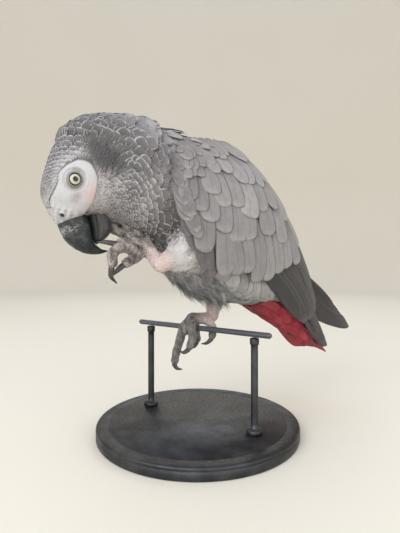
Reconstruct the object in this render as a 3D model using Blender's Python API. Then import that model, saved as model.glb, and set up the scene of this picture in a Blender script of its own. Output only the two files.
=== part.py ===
"""A grey parrot at life size, standing on one foot on a wire perch with the other foot held to its bill.

The row frame is +Z up, with the origin at the middle of the display disc's underside. The parrot faces -Y and
its left side is +X. Sizes are in millimetres and become metres when a mesh is made.
"""

import math

import bmesh
import bpy
import numpy as np
from mathutils import Quaternion, Vector

MM = 0.001
GAP = 0.35  # kept between neighbouring pieces

# Driving dimensions of the stand.
PERCH_HEIGHT = 80.0
PERCH_TURN = math.radians(16.0)  # the wire, seen from above, against the parrot's left-right line
WIRE_RADIUS = 2.1
PERCH_HALF_LENGTH = 62.0
ROD_OFFSET = 50.0
ROD_RADIUS = 2.6
DISC_RADIUS = 78.0
DISC_HEIGHT = 9.0
DISC_EDGE = 1.5

# Driving dimensions of the parrot.
BODY_X = 10.0  # the parrot's middle plane, left of the foot it stands on
HEAD_MIDDLE = Vector((BODY_X, -106.4, 177.7))  # halfway between the eyes
HEAD_PITCH = math.radians(74.0)  # how far the bill points below the level
HEAD_TURN = math.radians(9.0)  # towards the parrot's right
EYE_RADIUS = 5.6
EYE_HALF_SPAN = 13.4  # from the head's middle plane to an eyeball's centre
WING_THICKNESS = 5.0
QUILL_THICKNESS = 2.4  # of the long feathers of wing and tail
TAIL_FEATHERS = 12
TOE_RADIUS = 3.1
CLAW_RADIUS = 1.9


def smooth_rows(rows, count):
    """Rows of numbers read at even steps along a smooth curve that passes through the given rows."""
    rows = np.asarray(rows, float)
    padded = np.vstack([2 * rows[0] - rows[1], rows, 2 * rows[-1] - rows[-2]])
    steps = np.linspace(0, len(rows) - 1, count)
    index = np.minimum(steps.astype(int), len(rows) - 2)
    t = (steps - index)[:, None]
    a, b, c, d = (padded[index + k] for k in range(4))
    return 0.5 * (2 * b + (c - a) * t + (2 * a - 5 * b + 4 * c - d) * t**2 + (3 * b - a - 3 * c + d) * t**3)


def unit(vectors):
    """The vectors at length one."""
    return vectors / np.maximum(np.linalg.norm(vectors, axis=-1, keepdims=True), 1e-9)


def material(name, colour, roughness, metallic=0.0):
    """A plain finish with one colour, given as linear red, green and blue."""
    made = bpy.data.materials.get(name)
    if made is None:
        made = bpy.data.materials.new(name)
        made.use_nodes = True
        shader = made.node_tree.nodes["Principled BSDF"]
        shader.inputs["Base Color"].default_value = (*colour, 1.0)
        shader.inputs["Roughness"].default_value = roughness
        shader.inputs["Metallic"].default_value = metallic
    return made


def finishes():
    """Each finish by its name."""
    table = {
        "plumage_grey": ((0.30, 0.29, 0.29), 0.9, 0.0),
        "flight_grey": ((0.07, 0.07, 0.075), 0.7, 0.0),
        "tail_red": ((0.42, 0.03, 0.05), 0.7, 0.0),
        "bill_horn": ((0.02, 0.02, 0.022), 0.35, 0.0),
        "claw_horn": ((0.03, 0.03, 0.03), 0.4, 0.0),
        "foot_scale": ((0.25, 0.22, 0.20), 0.8, 0.0),
        "eye": ((0.6, 0.58, 0.42), 0.1, 0.0),
        "wire": ((0.05, 0.05, 0.055), 0.5, 0.4),
        "stand_metal": ((0.06, 0.06, 0.065), 0.45, 0.6),
    }
    return {name: material(name, *values) for name, values in table.items()}


def object_from(name, shape, finish=None, smooth=True):
    """A closed bmesh, in millimetres, as an object in metres with its faces pointing out."""
    bmesh.ops.recalc_face_normals(shape, faces=shape.faces)
    if shape.calc_volume(signed=True) < 0:
        bmesh.ops.reverse_faces(shape, faces=shape.faces)
    bmesh.ops.scale(shape, vec=(MM, MM, MM), verts=shape.verts)
    mesh = bpy.data.meshes.new(name)
    shape.to_mesh(mesh)
    shape.free()
    if smooth:
        mesh.shade_smooth()
        mesh.set_sharp_from_angle(angle=math.radians(50))
    made = bpy.data.objects.new(name, mesh)
    bpy.context.scene.collection.objects.link(made)
    if finish:
        mesh.materials.append(finish)
    return made


def loft(rings):
    """A closed bmesh through rings of equal length, with a fan on a middle point at each end."""
    shape = bmesh.new()
    made = [[shape.verts.new(p) for p in ring] for ring in rings]
    sides = len(made[0])
    for lower, upper in zip(made, made[1:]):
        for i in range(sides):
            j = (i + 1) % sides
            shape.faces.new((lower[i], lower[j], upper[j], upper[i]))
    for ring, turned in ((made[0], True), (made[-1], False)):
        middle = shape.verts.new(sum((v.co for v in ring), Vector()) / sides)
        for i in range(sides):
            j = (i + 1) % sides
            shape.faces.new((ring[j], ring[i], middle) if turned else (ring[i], ring[j], middle))
    return shape


def oval(half_width, half_height, sides, power=2.0):
    """Points round a superellipse, as rows of (across, up)."""
    angle = np.linspace(0, 2 * math.pi, sides, endpoint=False)
    c, s = np.cos(angle), np.sin(angle)
    across = half_width * np.sign(c) * np.abs(c) ** (2.0 / power)
    up = half_height * np.sign(s) * np.abs(s) ** (2.0 / power)
    return np.stack([across, up], 1)


def spine_rings(stations, count, sides, power=2.15):
    """Rings square to a spine in the parrot's middle plane. A station is (y, z, half depth, half width)."""
    rows = smooth_rows(stations, count)
    along = unit(np.gradient(rows[:, :2], axis=0))
    rings = []
    for (y, z, depth, width), (ty, tz) in zip(rows, along):
        ring = oval(width, depth, sides, power)
        rings.append([(BODY_X + a, y - u * tz, z + u * ty) for a, u in ring])
    return rings


def tube_rings(path, radii, count, sides, flatten=1.0):
    """Rings along a smooth path, with round ends. flatten squeezes them in the second cross direction."""
    rows = smooth_rows([(*p, r) for p, r in zip(path, radii)], count)
    points, size = rows[:, :3], rows[:, 3]
    along = unit(np.gradient(points, axis=0))
    side = np.cross(along[0], (0.31, 0.22, 0.92))
    rings = []
    ends = [math.sin(math.radians(a)) for a in (30,)]
    for i, (point, direction, radius) in enumerate(zip(points, along, size)):
        side = unit(side - direction * (side @ direction))
        up = np.cross(direction, side)
        caps = [1.0]
        if i == 0:
            caps = ends + [1.0]
        if i == len(points) - 1:
            caps = [1.0] + ends[::-1]
        for share in caps:
            back = radius * math.sqrt(max(0.0, 1 - share * share))
            centre = point - direction * back if i == 0 else point + direction * back
            angle = np.linspace(0, 2 * math.pi, sides, endpoint=False)[:, None]
            ring = centre + radius * share * (np.cos(angle) * side + np.sin(angle) * up * flatten)
            rings.append(ring)
    return rings


def boolean(target, other, operation, keep_other=False):
    """Applies one exact Boolean to the target mesh."""
    step = target.modifiers.new(operation, "BOOLEAN")
    step.operation = operation
    step.solver = "EXACT"
    step.object = other
    bpy.context.view_layer.update()
    graph = bpy.context.evaluated_depsgraph_get()
    mesh = bpy.data.meshes.new_from_object(target.evaluated_get(graph))
    target.modifiers.clear()
    old = target.data
    target.data = mesh
    bpy.data.meshes.remove(old)
    if not keep_other:
        bpy.data.objects.remove(other)
    return target


def grown(source, by):
    """A hidden copy of a piece, a little larger all round, for cutting its neighbours."""
    shape = bmesh.new()
    shape.from_mesh(source.data)
    bmesh.ops.remove_doubles(shape, verts=shape.verts, dist=1e-6)
    bmesh.ops.recalc_face_normals(shape, faces=shape.faces)
    shape.normal_update()
    moves = [(v, v.normal.copy() * by * MM) for v in shape.verts]
    for v, move in moves:
        v.co += move
    mesh = bpy.data.meshes.new(source.name + "_cutter")
    shape.to_mesh(mesh)
    shape.free()
    cutter = bpy.data.objects.new(source.name + "_cutter", mesh)
    cutter.hide_render = True
    cutter.display_type = "WIRE"
    bpy.context.scene.collection.objects.link(cutter)
    return cutter


def carve(piece, *neighbours, gap=GAP):
    """Cuts the neighbours, grown by the gap, out of the piece, and keeps its largest body."""
    for neighbour in neighbours:
        boolean(piece, grown(neighbour, gap), "DIFFERENCE")
    keep_largest(piece)
    return piece


def keep_largest(piece):
    """Removes the small loose bodies that a cut may leave."""
    shape = bmesh.new()
    shape.from_mesh(piece.data)
    left = set(shape.verts)
    bodies = []
    while left:
        found, edge = set(), [next(iter(left))]
        while edge:
            v = edge.pop()
            if v in found:
                continue
            found.add(v)
            edge.extend(e.other_vert(v) for e in v.link_edges)
        left -= found
        bodies.append(found)
    bodies.sort(key=body_volume)
    for body in bodies[:-1]:
        bmesh.ops.delete(shape, geom=list(body), context="VERTS")
    shape.to_mesh(piece.data)
    shape.free()


def body_volume(verts):
    """The size of the box round a body."""
    low = [min(v.co[k] for v in verts) for k in range(3)]
    high = [max(v.co[k] for v in verts) for k in range(3)]
    return math.prod(h - w for h, w in zip(high, low))


def sliced(source, name, finish, planes):
    """A copy of the source kept on the positive side of each plane, given as (point, normal)."""
    shape = bmesh.new()
    shape.from_mesh(source.data)
    bmesh.ops.remove_doubles(shape, verts=shape.verts, dist=1e-6)
    for point, normal in planes:
        normal = Vector(normal).normalized()
        cut = bmesh.ops.bisect_plane(
            shape,
            geom=shape.verts[:] + shape.edges[:] + shape.faces[:],
            plane_co=(Vector(point) + normal * GAP / 2) * MM,
            plane_no=normal,
            clear_inner=True,
        )
        rim = [e for e in cut["geom_cut"] if isinstance(e, bmesh.types.BMEdge)]
        filled = bmesh.ops.contextual_create(shape, geom=rim)["faces"]
        bmesh.ops.triangulate(shape, faces=filled)
    bmesh.ops.scale(shape, vec=(1 / MM,) * 3, verts=shape.verts)
    return object_from(name, shape, finish)


# The parrot's head.


def head_axes():
    """The head's own directions: to the bill, to the crown and to its left."""
    turn = Quaternion((0, 0, 1), -HEAD_TURN)
    forward = Vector((0, -math.cos(HEAD_PITCH), -math.sin(HEAD_PITCH)))
    crown = Vector((0, -math.sin(HEAD_PITCH), math.cos(HEAD_PITCH)))
    return turn @ forward, turn @ crown, turn @ Vector((1, 0, 0))


def head_point(forward_by, up_by, left_by):
    """A place given along the head's own directions, from halfway between the eyes."""
    forward, crown, left = head_axes()
    return HEAD_MIDDLE + forward * forward_by + crown * up_by + left * left_by


def profile_rings(stations, count, sides, narrowing):
    """Rings of the head or bill. A station is (top forward, top up, bottom forward, bottom up, half width).

    The rings are ovals that get narrower towards the top by the share given.
    """
    rings = []
    for top_f, top_u, low_f, low_u, width in smooth_rows(stations, count):
        ring = []
        for across, up in oval(1.0, 1.0, sides):
            share = (up + 1) / 2
            reach = width * across * (1 - narrowing * up)
            ring.append(head_point(low_f + (top_f - low_f) * share, low_u + (top_u - low_u) * share, reach))
        rings.append(ring)
    return rings


def head_shape():
    """The feathered head, from inside the neck to the cere."""
    stations = (
        (-38, 2, -38, -38, 15),
        (-30, 9, -30, -38, 18.5),
        (-20, 14.2, -20, -37, 20),
        (-8, 15.4, -8, -34, 20),
        (3, 15.2, 2, -31.5, 19.6),
        (11, 13.6, 7, -29.5, 17.6),
        (16.5, 9.6, 10, -26, 14.8),
        (20.5, 5.4, 12.2, -20, 12.2),
        (23.8, 1.2, 14, -14.8, 9),
        (25.2, -2.4, 18, -10, 4.5),
    )
    return loft(profile_rings(stations, 17, 20, 0.12))


def upper_bill_shape():
    """The hooked upper bill, from inside the face to its point."""
    stations = (
        (18, 4, 9, -12, 7.8),
        (24.7, -0.2, 14.4, -15.1, 9.0),
        (28.6, -2.9, 18.4, -17.8, 8.8),
        (32.1, -6.2, 22, -20.0, 8.2),
        (34.8, -10.6, 25.2, -21.6, 7.3),
        (36.4, -15.6, 27.6, -22.9, 6.2),
        (37.0, -21.0, 29.4, -24.6, 4.9),
        (36.1, -26.0, 30.6, -27.2, 3.5),
        (34.4, -30.1, 31.4, -29.8, 2.1),
        (31.7, -33.9, 31.1, -33.5, 0.5),
    )
    return loft(profile_rings(stations, 14, 14, 0.16))


def lower_bill_shape():
    """The lower bill, a scoop under the cutting edge."""
    stations = (
        (7, -14, 6, -25, 7.4),
        (13.4, -16.6, 11.5, -28.6, 8.2),
        (18.4, -19.8, 16, -31.3, 7.8),
        (22.5, -22.0, 20.2, -31.9, 6.8),
        (26, -23.7, 24.4, -30.2, 5.0),
        (28.2, -25.1, 27.4, -27.6, 2.4),
    )
    return loft(profile_rings(stations, 9, 12, -0.1))


def eyeball(name, finish, side):
    """An eyeball, with side 1 for the left and -1 for the right."""
    shape = bmesh.new()
    bmesh.ops.create_uvsphere(shape, u_segments=14, v_segments=8, radius=EYE_RADIUS)
    bmesh.ops.translate(shape, vec=head_point(0, 0, side * EYE_HALF_SPAN), verts=shape.verts)
    return object_from(name, shape, finish)


# The parrot's body.


def body_shape():
    """The neck and trunk, from inside the head to the tail root, as (y, z, half depth, half width)."""
    stations = (
        (-110, 190, 6, 6),
        (-107, 191, 14, 12),
        (-101, 193.5, 22, 17),
        (-93, 194, 29, 21),
        (-79, 192, 34.5, 26),
        (-62, 190, 36.5, 30.5),
        (-44, 183, 37.5, 35),
        (-22, 173, 44, 39.5),
        (2, 159.5, 50.5, 41.5),
        (27, 143.5, 48, 40),
        (50, 129, 36, 36),
        (71, 116, 24.5, 28.5),
        (87, 104.5, 14.5, 20),
        (97, 97, 7.5, 12),
        (102, 93, 3, 5),
    )
    return loft(spine_rings(stations, 26, 24))


def plate(outer, inner):
    """A closed bmesh between two grids of equal size, joined along their rims."""
    shape = bmesh.new()
    made = [[[shape.verts.new(p) for p in row] for row in grid] for grid in (outer, inner)]
    for grid, turned in zip(made, (False, True)):
        for low, high in zip(grid, grid[1:]):
            for i in range(len(low) - 1):
                corners = (low[i], low[i + 1], high[i + 1], high[i])
                shape.faces.new(corners[::-1] if turned else corners)
    top, low = (rim_of(grid) for grid in made)
    for i in range(len(top)):
        j = (i + 1) % len(top)
        shape.faces.new((top[j], top[i], low[i], low[j]))
    return shape


def rim_of(grid):
    """The corners round a grid's rim, in order."""
    right = [row[-1] for row in grid[1:-1]]
    left = [row[0] for row in grid[-2:0:-1]]
    return grid[0] + right + grid[-1][::-1] + left


def bowed_sheet(upper, lower, bulge, out, across):
    """A grid between two edges, bowed out by the bulge halfway. Each pair of edge points makes a row."""
    share = np.linspace(0, 1, across)[None, :, None]
    bow = bulge[:, None, None] * 4 * share * (1 - share)
    return upper[:, None, :] * (1 - share) + lower[:, None, :] * share + bow * out[:, None, :]


def sheet_normals(grid):
    """The unit normals of a grid of points."""
    return unit(np.cross(np.gradient(grid, axis=1), np.gradient(grid, axis=0)))


def thickened(grid, thickness, edge):
    """Two grids either side of a sheet. The thickness falls to the edge value along the rim."""
    rows, columns = grid.shape[:2]
    run = np.minimum(np.arange(rows), np.arange(rows)[::-1])[:, None] / 2.0
    span = np.minimum(np.arange(columns), np.arange(columns)[::-1])[None, :] / 2.0
    share = np.clip(np.minimum(run, span), 0, 1)[..., None]
    half = (edge + (thickness - edge) * np.sqrt(share)) / 2
    normals = sheet_normals(grid)
    return grid + normals * half, grid - normals * half


def mirrored(points, side):
    """The points on the given side of the parrot's middle plane. They are written for its left."""
    points = np.array(points, float)
    points[..., 0] = BODY_X + side * (points[..., 0] - BODY_X)
    return points


# Stations of a wing's sheet: upper edge, lower edge and outward bulge. Both are written for the left side.
NEAR_WING = (
    (42, -51, 203, 50, -56, 168, 3),
    (38, -40, 211, 55, -49, 156, 6),
    (30, -24, 216, 57, -37, 143, 10),
    (28, -4, 217.5, 55, -17, 124.5, 14),
    (28, 19, 214.5, 52, 6, 116.5, 16),
    (27, 42, 203, 46, 30, 110, 15.5),
    (27, 64, 183.5, 41, 53, 103, 12.5),
    (27, 83, 158.5, 36, 76, 92, 9),
    (27, 98, 135, 32, 94, 82, 6),
    (26, 110, 115, 29, 108, 78, 4),
)
NEAR_QUILLS = (
    (20, 62, 168, 35, 54, 106, 8),
    (19, 80, 146, 31, 72, 94, 6),
    (19, 96, 124, 28, 91, 81, 5),
    (20, 109, 104, 26, 107, 69, 3),
    (22, 121, 84, 26, 119, 59, 2),
    (26, 131, 66, 28, 129, 52, 1),
)
FAR_WING = (
    (46, -36, 197, 49, -36, 172, 3),
    (40, -27, 206, 51, -30, 152, 5),
    (31, -13, 212, 50, -18, 137, 8),
    (27, 6, 214.5, 49, 0, 124, 11),
    (26, 28, 209, 46, 22, 118, 12),
    (25, 50, 196, 42, 46, 111, 11),
    (24, 74, 177, 38, 70, 104, 9),
    (23, 97, 154, 34, 94, 97, 7),
    (22, 116, 134, 30, 114, 92, 5),
    (21, 128, 120, 27, 126, 91, 3),
)
FAR_QUILLS = (
    (18, 90, 150, 31, 84, 100, 7),
    (16, 112, 131, 27, 108, 91, 5),
    (13, 134, 114, 23, 132, 83, 4),
    (10, 154, 99, 18, 156, 76, 3),
    (6, 172, 84, 10, 178, 70, 1),
    (4, 190, 72, 6, 190, 64, 1),
)


def feather_reach(columns, count, longest, shortest, rounding):
    """How far each column of a sheet runs: stepped from feather to feather, each with a rounded tip."""
    place = np.linspace(0, 1, columns) * count
    index = np.minimum(place.astype(int), count - 1)
    within = 2 * (place - index) - 1
    return shortest + (longest - shortest) * index / (count - 1) - rounding * within**2


def cut_to_reach(grid, reach, rows):
    """The sheet with each column read only as far as its reach."""
    place = np.linspace(0, len(grid) - 1, rows)[:, None] * reach[None, :]
    low = np.minimum(place.astype(int), len(grid) - 2)
    share = (place - low)[..., None]
    column = np.arange(grid.shape[1])[None, :]
    return grid[low, column] * (1 - share) + grid[low + 1, column] * share


def wing_sheet(stations, side, columns, reach, rows):
    """The middle sheet of one wing layer, from the front to its feather tips."""
    fine = smooth_rows(stations, 60)
    upper, lower = fine[:, :3], fine[:, 3:6]
    out = unit(np.cross(lower - upper, np.gradient(upper + lower, axis=0)))
    out *= np.sign(out[:, :1])
    return mirrored(cut_to_reach(bowed_sheet(upper, lower, fine[:, 6], out, columns), reach, rows), side)


def wing_shape(stations, side):
    """The coverts and secondaries of a folded wing, one bowed plate."""
    reach = feather_reach(15, 7, 0.985, 1.0, 0.02)
    return plate(*thickened(wing_sheet(stations, side, 15, reach, 13), WING_THICKNESS, 1.0))


def primaries_shape(stations, side):
    """The long flight feathers that show beyond the secondaries, one thin plate with stepped tips."""
    reach = feather_reach(13, 6, 1.0, 0.72, 0.035)
    return plate(*thickened(wing_sheet(stations, side, 13, reach, 7), QUILL_THICKNESS, 0.8))


def tail_shape():
    """The square red tail, a slightly roofed fan."""
    across = np.linspace(-1, 1, TAIL_FEATHERS * 2 + 1)
    place = (across + 1) / 2 * TAIL_FEATHERS
    within = 2 * (place - np.minimum(place.astype(int), TAIL_FEATHERS - 1)) - 1
    reach = 1.0 - 0.05 * across**2 - 0.035 * within**2
    run = np.linspace(0, 1, 5)[:, None] * reach[None, :]
    half_width = 12.5 + 9 * np.sin(run * math.pi * 0.6)
    y = 74 + 60.5 * run
    z = 101 - 52 * run - 3 * across[None, :] ** 2
    grid = np.stack([BODY_X + half_width * across[None, :], y, z], -1)
    return plate(*thickened(grid, QUILL_THICKNESS * 1.4, 0.8))


# Legs.


def thigh_shape(side):
    """The feathered upper leg, from inside the belly to the ankle. The left one is drawn up."""
    if side > 0:
        path = ((34, -12, 152), (38, -26, 145), (39, -39, 139), (37, -49, 133.5), (35, -55, 131))
        radii = (20, 19, 13.5, 8, 5.2)
    else:
        path = ((-4, 29, 118), (-6.5, 26, 107), (-8, 23.5, 97), (-8.5, 22, 90))
        radii = (14, 11.5, 7.5, 5)
    return loft(tube_rings(path, radii, 8, 12))


# Each foot: the lower leg, then a path for each toe and one for its claw.
RAISED_FOOT = {
    "shank": ((35, -56.5, 129.5), (31, -58, 132.5), (26, -58.5, 137.5), (20.5, -59, 142.5)),
    "toes": (
        ((19, -59.5, 143.5), (15.5, -66.3, 147.6), (12.4, -73, 150.6), (9.6, -77.4, 152.6)),
        ((20, -61, 142.5), (21, -70, 143.6), (21.5, -78, 143)),
        ((22, -62, 139.5), (26, -73, 139.8), (29, -82, 139.8), (30, -87.2, 136), (29.5, -87, 130.5)),
        ((22, -61, 139), (23.5, -68.5, 134), (25.5, -76, 130.4)),
    ),
    "claws": (
        ((8.2, -79.6, 153.4), (4.6, -83, 153.2), (2.8, -87.5, 150.4)),
        ((21.5, -81.5, 142.4), (19, -87, 143.4), (15.5, -91.2, 143.4)),
        ((29, -87.6, 127), (27.6, -87.2, 122.4), (24.5, -82, 118.2)),
        ((25.8, -79, 128.6), (25, -82.5, 125.4), (22.4, -84.5, 122.4)),
    ),
}
STANDING_FOOT = {
    "shank": ((-8.5, 21.5, 87), (-8.5, 17, 86.2), (-8, 9, 86.4), (-7.5, 0, 86.6)),
    "toes": (
        ((-8, -1, 86), (-10.5, -6.4, 80), (-12, -8.6, 71), (-13, -11.6, 60.5), (-12.6, -13.4, 54)),
        ((-6, -1, 86), (-1, -5.6, 81.5), (2.6, -7.2, 74.5), (4, -10.6, 67.8)),
        ((-6, 3, 86), (0.5, 9.4, 84.8), (4, 11.6, 79.4), (3.4, 11.8, 73.4)),
        ((-9, 3, 86), (-12.5, 6.6, 83), (-14, 8.4, 76), (-12.6, 8.8, 68.6)),
    ),
    "claws": (
        ((-12.2, -14.2, 51), (-11, -12.4, 48), (-9.4, -8.8, 47)),
        ((4.2, -13, 65), (4, -16.4, 63.6), (3, -19.4, 64.4)),
        ((3, 11, 70.4), (1.8, 7.6, 67.6), (0.4, 3.4, 67.2)),
        ((-12.2, 8, 65.6), (-11.2, 4.8, 63), (-10, 1, 62.6)),
    ),
}


def foot(name, layout, shank_radii, finish):
    """A lower leg with its four toes, joined to one body."""
    made = object_from(name, loft(tube_rings(layout["shank"], shank_radii, 5, 9)), finish)
    for toe_path in layout["toes"]:
        radii = np.linspace(TOE_RADIUS * 1.08, TOE_RADIUS * 0.86, len(toe_path))
        toe = object_from(name + "_toe", loft(tube_rings(toe_path, radii, 6, 8)))
        boolean(made, toe, "UNION")
    return made


def claw(name, path, finish):
    """A curved claw that narrows to its point."""
    radii = (CLAW_RADIUS, CLAW_RADIUS * 0.72, CLAW_RADIUS * 0.22)
    return object_from(name, loft(tube_rings(path, radii, 5, 7)), finish)


# The stand.


def wire_direction():
    """The perch wire's direction."""
    return Vector((math.cos(PERCH_TURN), math.sin(PERCH_TURN), 0))


def perch(finish):
    """The short straight length of cage wire."""
    along = wire_direction()
    ends = [Vector((0, 0, PERCH_HEIGHT)) + along * s * PERCH_HALF_LENGTH for s in (-1, 0, 1)]
    return object_from("perch_wire", loft(tube_rings(ends, (WIRE_RADIUS,) * 3, 2, 14)), finish)


def turned_solid(profile, sides, centre=(0, 0)):
    """A bmesh turned about an upright axis from (radius, height) pairs."""
    angle = np.linspace(0, 2 * math.pi, sides, endpoint=False)
    across, up = centre
    return loft([[(across + r * math.cos(a), up + r * math.sin(a), h) for a in angle] for r, h in profile])


def stand(finish):
    """The flat disc and the two upright rods that carry the perch wire."""
    disc = (
        (DISC_RADIUS, 0),
        (DISC_RADIUS, DISC_HEIGHT - DISC_EDGE),
        (DISC_RADIUS - DISC_EDGE * 0.3, DISC_HEIGHT - DISC_EDGE * 0.3),
        (DISC_RADIUS - DISC_EDGE, DISC_HEIGHT),
    )
    object_from("stand_base", turned_solid(disc, 64), finish)
    rise = ((ROD_RADIUS, DISC_HEIGHT + GAP), (ROD_RADIUS, PERCH_HEIGHT - WIRE_RADIUS - GAP))
    for number, sign in enumerate((-1, 1), 1):
        at = wire_direction() * sign * ROD_OFFSET
        object_from(f"stand_rod_{number}", turned_solid(rise, 16, at.xy), finish)


# Assembly.

HEAD_CUT = ((BODY_X, -88, 190), (0.0, -0.945, -0.326))  # a point of the cut and the way to the head
CHEST_CUT = ((BODY_X, -45, 185), (0.0, -0.984, 0.179))  # the way to the neck


def flipped(cut):
    """The same cut, keeping the other side."""
    point, way = cut
    return point, tuple(-w for w in way)


def build_body(finish):
    """The head, neck and trunk, cut from one smooth body."""
    whole = object_from("body", body_shape())
    boolean(whole, object_from("head_form", head_shape()), "UNION")
    pieces = {
        "head": (HEAD_CUT,),
        "neck": (flipped(HEAD_CUT), CHEST_CUT),
        "trunk": (flipped(CHEST_CUT),),
    }
    made = {name: sliced(whole, name, finish, cuts) for name, cuts in pieces.items()}
    bpy.data.objects.remove(whole)
    return made


def main():
    """Builds every piece, then cuts the clearances between neighbours."""
    for old in list(bpy.data.objects):
        bpy.data.objects.remove(old)
    finish = finishes()
    wire = perch(finish["wire"])
    stand(finish["stand_metal"])

    body = build_body(finish["plumage_grey"])
    eyes = [eyeball(f"eye_{word}", finish["eye"], side) for word, side in (("left", 1), ("right", -1))]
    upper = object_from("bill_upper", upper_bill_shape(), finish["bill_horn"])
    lower = object_from("bill_lower", lower_bill_shape(), finish["bill_horn"])
    carve(body["head"], *eyes)
    carve(upper, body["head"])
    carve(lower, body["head"], upper)

    wings = [
        object_from("wing_left", wing_shape(NEAR_WING, 1), finish["plumage_grey"]),
        object_from("wing_right", wing_shape(FAR_WING, -1), finish["plumage_grey"]),
    ]
    quills = [
        object_from("primaries_left", primaries_shape(NEAR_QUILLS, 1), finish["flight_grey"]),
        object_from("primaries_right", primaries_shape(FAR_QUILLS, -1), finish["flight_grey"]),
    ]
    tail = object_from("tail", tail_shape(), finish["tail_red"])
    carve(body["trunk"], *wings, tail)
    carve(body["neck"], *wings)
    for wing, quill in zip(wings, quills):
        carve(quill, wing, body["trunk"], tail)

    feet = {
        "left": foot("foot_left", RAISED_FOOT, (5.2, 4.4, 4.4, 4.6), finish["foot_scale"]),
        "right": foot("foot_right", STANDING_FOOT, (5.0, 4.4, 4.4, 4.8), finish["foot_scale"]),
    }
    for (word, made), side, layout in zip(feet.items(), (1, -1), (RAISED_FOOT, STANDING_FOOT)):
        thigh = object_from(f"thigh_{word}", thigh_shape(side), finish["plumage_grey"])
        carve(thigh, body["trunk"])
        if side > 0:
            carve(thigh, wings[0])
        claws = [
            claw(f"claw_{word}_{number}", path, finish["claw_horn"])
            for number, path in enumerate(layout["claws"], 1)
        ]
        carve(made, thigh, wire, upper, lower)
        for one in claws:
            carve(one, made, upper, lower, wire)


main()
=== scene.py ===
"""The looks of a life-size grey parrot on a display stand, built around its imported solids.

Every class works in millimetres in the row frame (+Z up, the parrot faces -Y, its left side is +X), and
meshes become metres when they are made. Every surface is worked out as whole arrays.
"""

import logging
import math
from collections.abc import Callable
from dataclasses import dataclass, field
from enum import Enum
from functools import partial

import bmesh
import bpy
import numpy as np
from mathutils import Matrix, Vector
from mathutils.bvhtree import BVHTree
from mathutils.kdtree import KDTree

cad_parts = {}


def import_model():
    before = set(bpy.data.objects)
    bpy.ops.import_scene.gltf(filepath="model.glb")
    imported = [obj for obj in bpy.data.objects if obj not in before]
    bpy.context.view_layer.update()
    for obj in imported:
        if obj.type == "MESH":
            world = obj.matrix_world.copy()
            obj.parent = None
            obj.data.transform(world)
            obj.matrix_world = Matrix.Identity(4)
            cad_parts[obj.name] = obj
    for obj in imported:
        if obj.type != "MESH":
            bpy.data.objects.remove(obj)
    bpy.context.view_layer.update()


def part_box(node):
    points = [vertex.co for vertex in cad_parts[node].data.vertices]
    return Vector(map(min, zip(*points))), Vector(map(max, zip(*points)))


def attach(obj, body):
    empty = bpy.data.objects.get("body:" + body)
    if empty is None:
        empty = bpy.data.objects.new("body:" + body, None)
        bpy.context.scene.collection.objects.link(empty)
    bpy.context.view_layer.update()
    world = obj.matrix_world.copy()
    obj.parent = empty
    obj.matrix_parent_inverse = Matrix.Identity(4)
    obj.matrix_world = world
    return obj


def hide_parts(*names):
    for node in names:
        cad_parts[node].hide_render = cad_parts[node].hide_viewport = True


Array = np.ndarray
Material = bpy.types.Material
Socket = bpy.types.NodeSocket
MM = 0.001
BODY = "root"
log = logging.getLogger("grey_parrot")


# ---- numbers


def unit(vectors: Array) -> Array:
    """The vectors at length one."""
    return vectors / np.maximum(np.linalg.norm(vectors, axis=-1, keepdims=True), 1e-9)


def ramp(values: Array, start: float, end: float) -> Array:
    """A smooth step: 0 before start, 1 after end, and 3x^2 - 2x^3 between. Start may be past end."""
    share = np.clip((np.asarray(values, float) - start) / (end - start), 0, 1)
    return share * share * (3 - 2 * share)


def bump(values: Array, middle: float, spread: float) -> Array:
    """A bell of height 1: exp(-((x - middle) / spread)^2)."""
    return np.exp(-(((np.asarray(values, float) - middle) / spread) ** 2))


def turns(count: int) -> Array:
    """Even angles once round a circle."""
    return np.linspace(0, 2 * math.pi, count, endpoint=False)


def curve_at(rows: Array, at: Array) -> Array:
    """A Catmull-Rom curve through rows of numbers.

    Args:
        rows: what the curve passes through.
        at: where to read it, from 0 to the last row's number.

    Returns:
        One row for each place.
    """
    rows = np.asarray(rows, float)
    at = np.clip(np.asarray(at, float), 0, len(rows) - 1)
    padded = np.vstack([2 * rows[0] - rows[1], rows, 2 * rows[-1] - rows[-2]])
    index = np.minimum(at.astype(int), len(rows) - 2)
    t = (at - index)[..., None]
    a, b, c, d = (padded[index + k] for k in range(4))
    return 0.5 * (2 * b + (c - a) * t + (2 * a - 5 * b + 4 * c - d) * t**2 + (3 * b - a - 3 * c + d) * t**3)


def curve(rows: Array, count: int) -> Array:
    """The Catmull-Rom curve through the rows at a number of even steps."""
    return curve_at(rows, np.linspace(0, len(rows) - 1, count))


def ripple(points: Array, wavelength: float, seed: int) -> Array:
    """Soft patchiness from -1 to 1: the mean of five sines in random directions.

    Args:
        points: places in mm.
        wavelength: the size of a patch in mm.
        seed: picks the directions.

    Returns:
        One value for each place.
    """
    rng = np.random.default_rng(seed)
    waves = unit(rng.normal(size=(5, 3))) * 2 * math.pi / wavelength * rng.uniform(0.7, 1.4, (5, 1))
    return np.sin(points @ waves.T + rng.uniform(0, 6.3, 5)).sum(-1) / 2.6


# ---- meshes


@dataclass
class Shell:
    """Points, the faces between them in blocks of one size, and the maps and marks that points carry."""

    points: Array
    faces: list[Array]
    uvs: dict[str, Array] = field(default_factory=dict)
    marks: dict[str, Array] = field(default_factory=dict)


def joined(shells: list[Shell]) -> Shell:
    """The points and faces of all the shells as one shell."""
    starts = np.cumsum([0] + [len(s.points) for s in shells])
    faces: dict[int, list[Array]] = {}
    for start, shell in zip(starts, shells):
        for block in shell.faces:
            faces.setdefault(block.shape[1], []).append(block + start)
    points = np.concatenate([shell.points for shell in shells])
    return Shell(points, [np.concatenate(blocks) for blocks in faces.values()])


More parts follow.
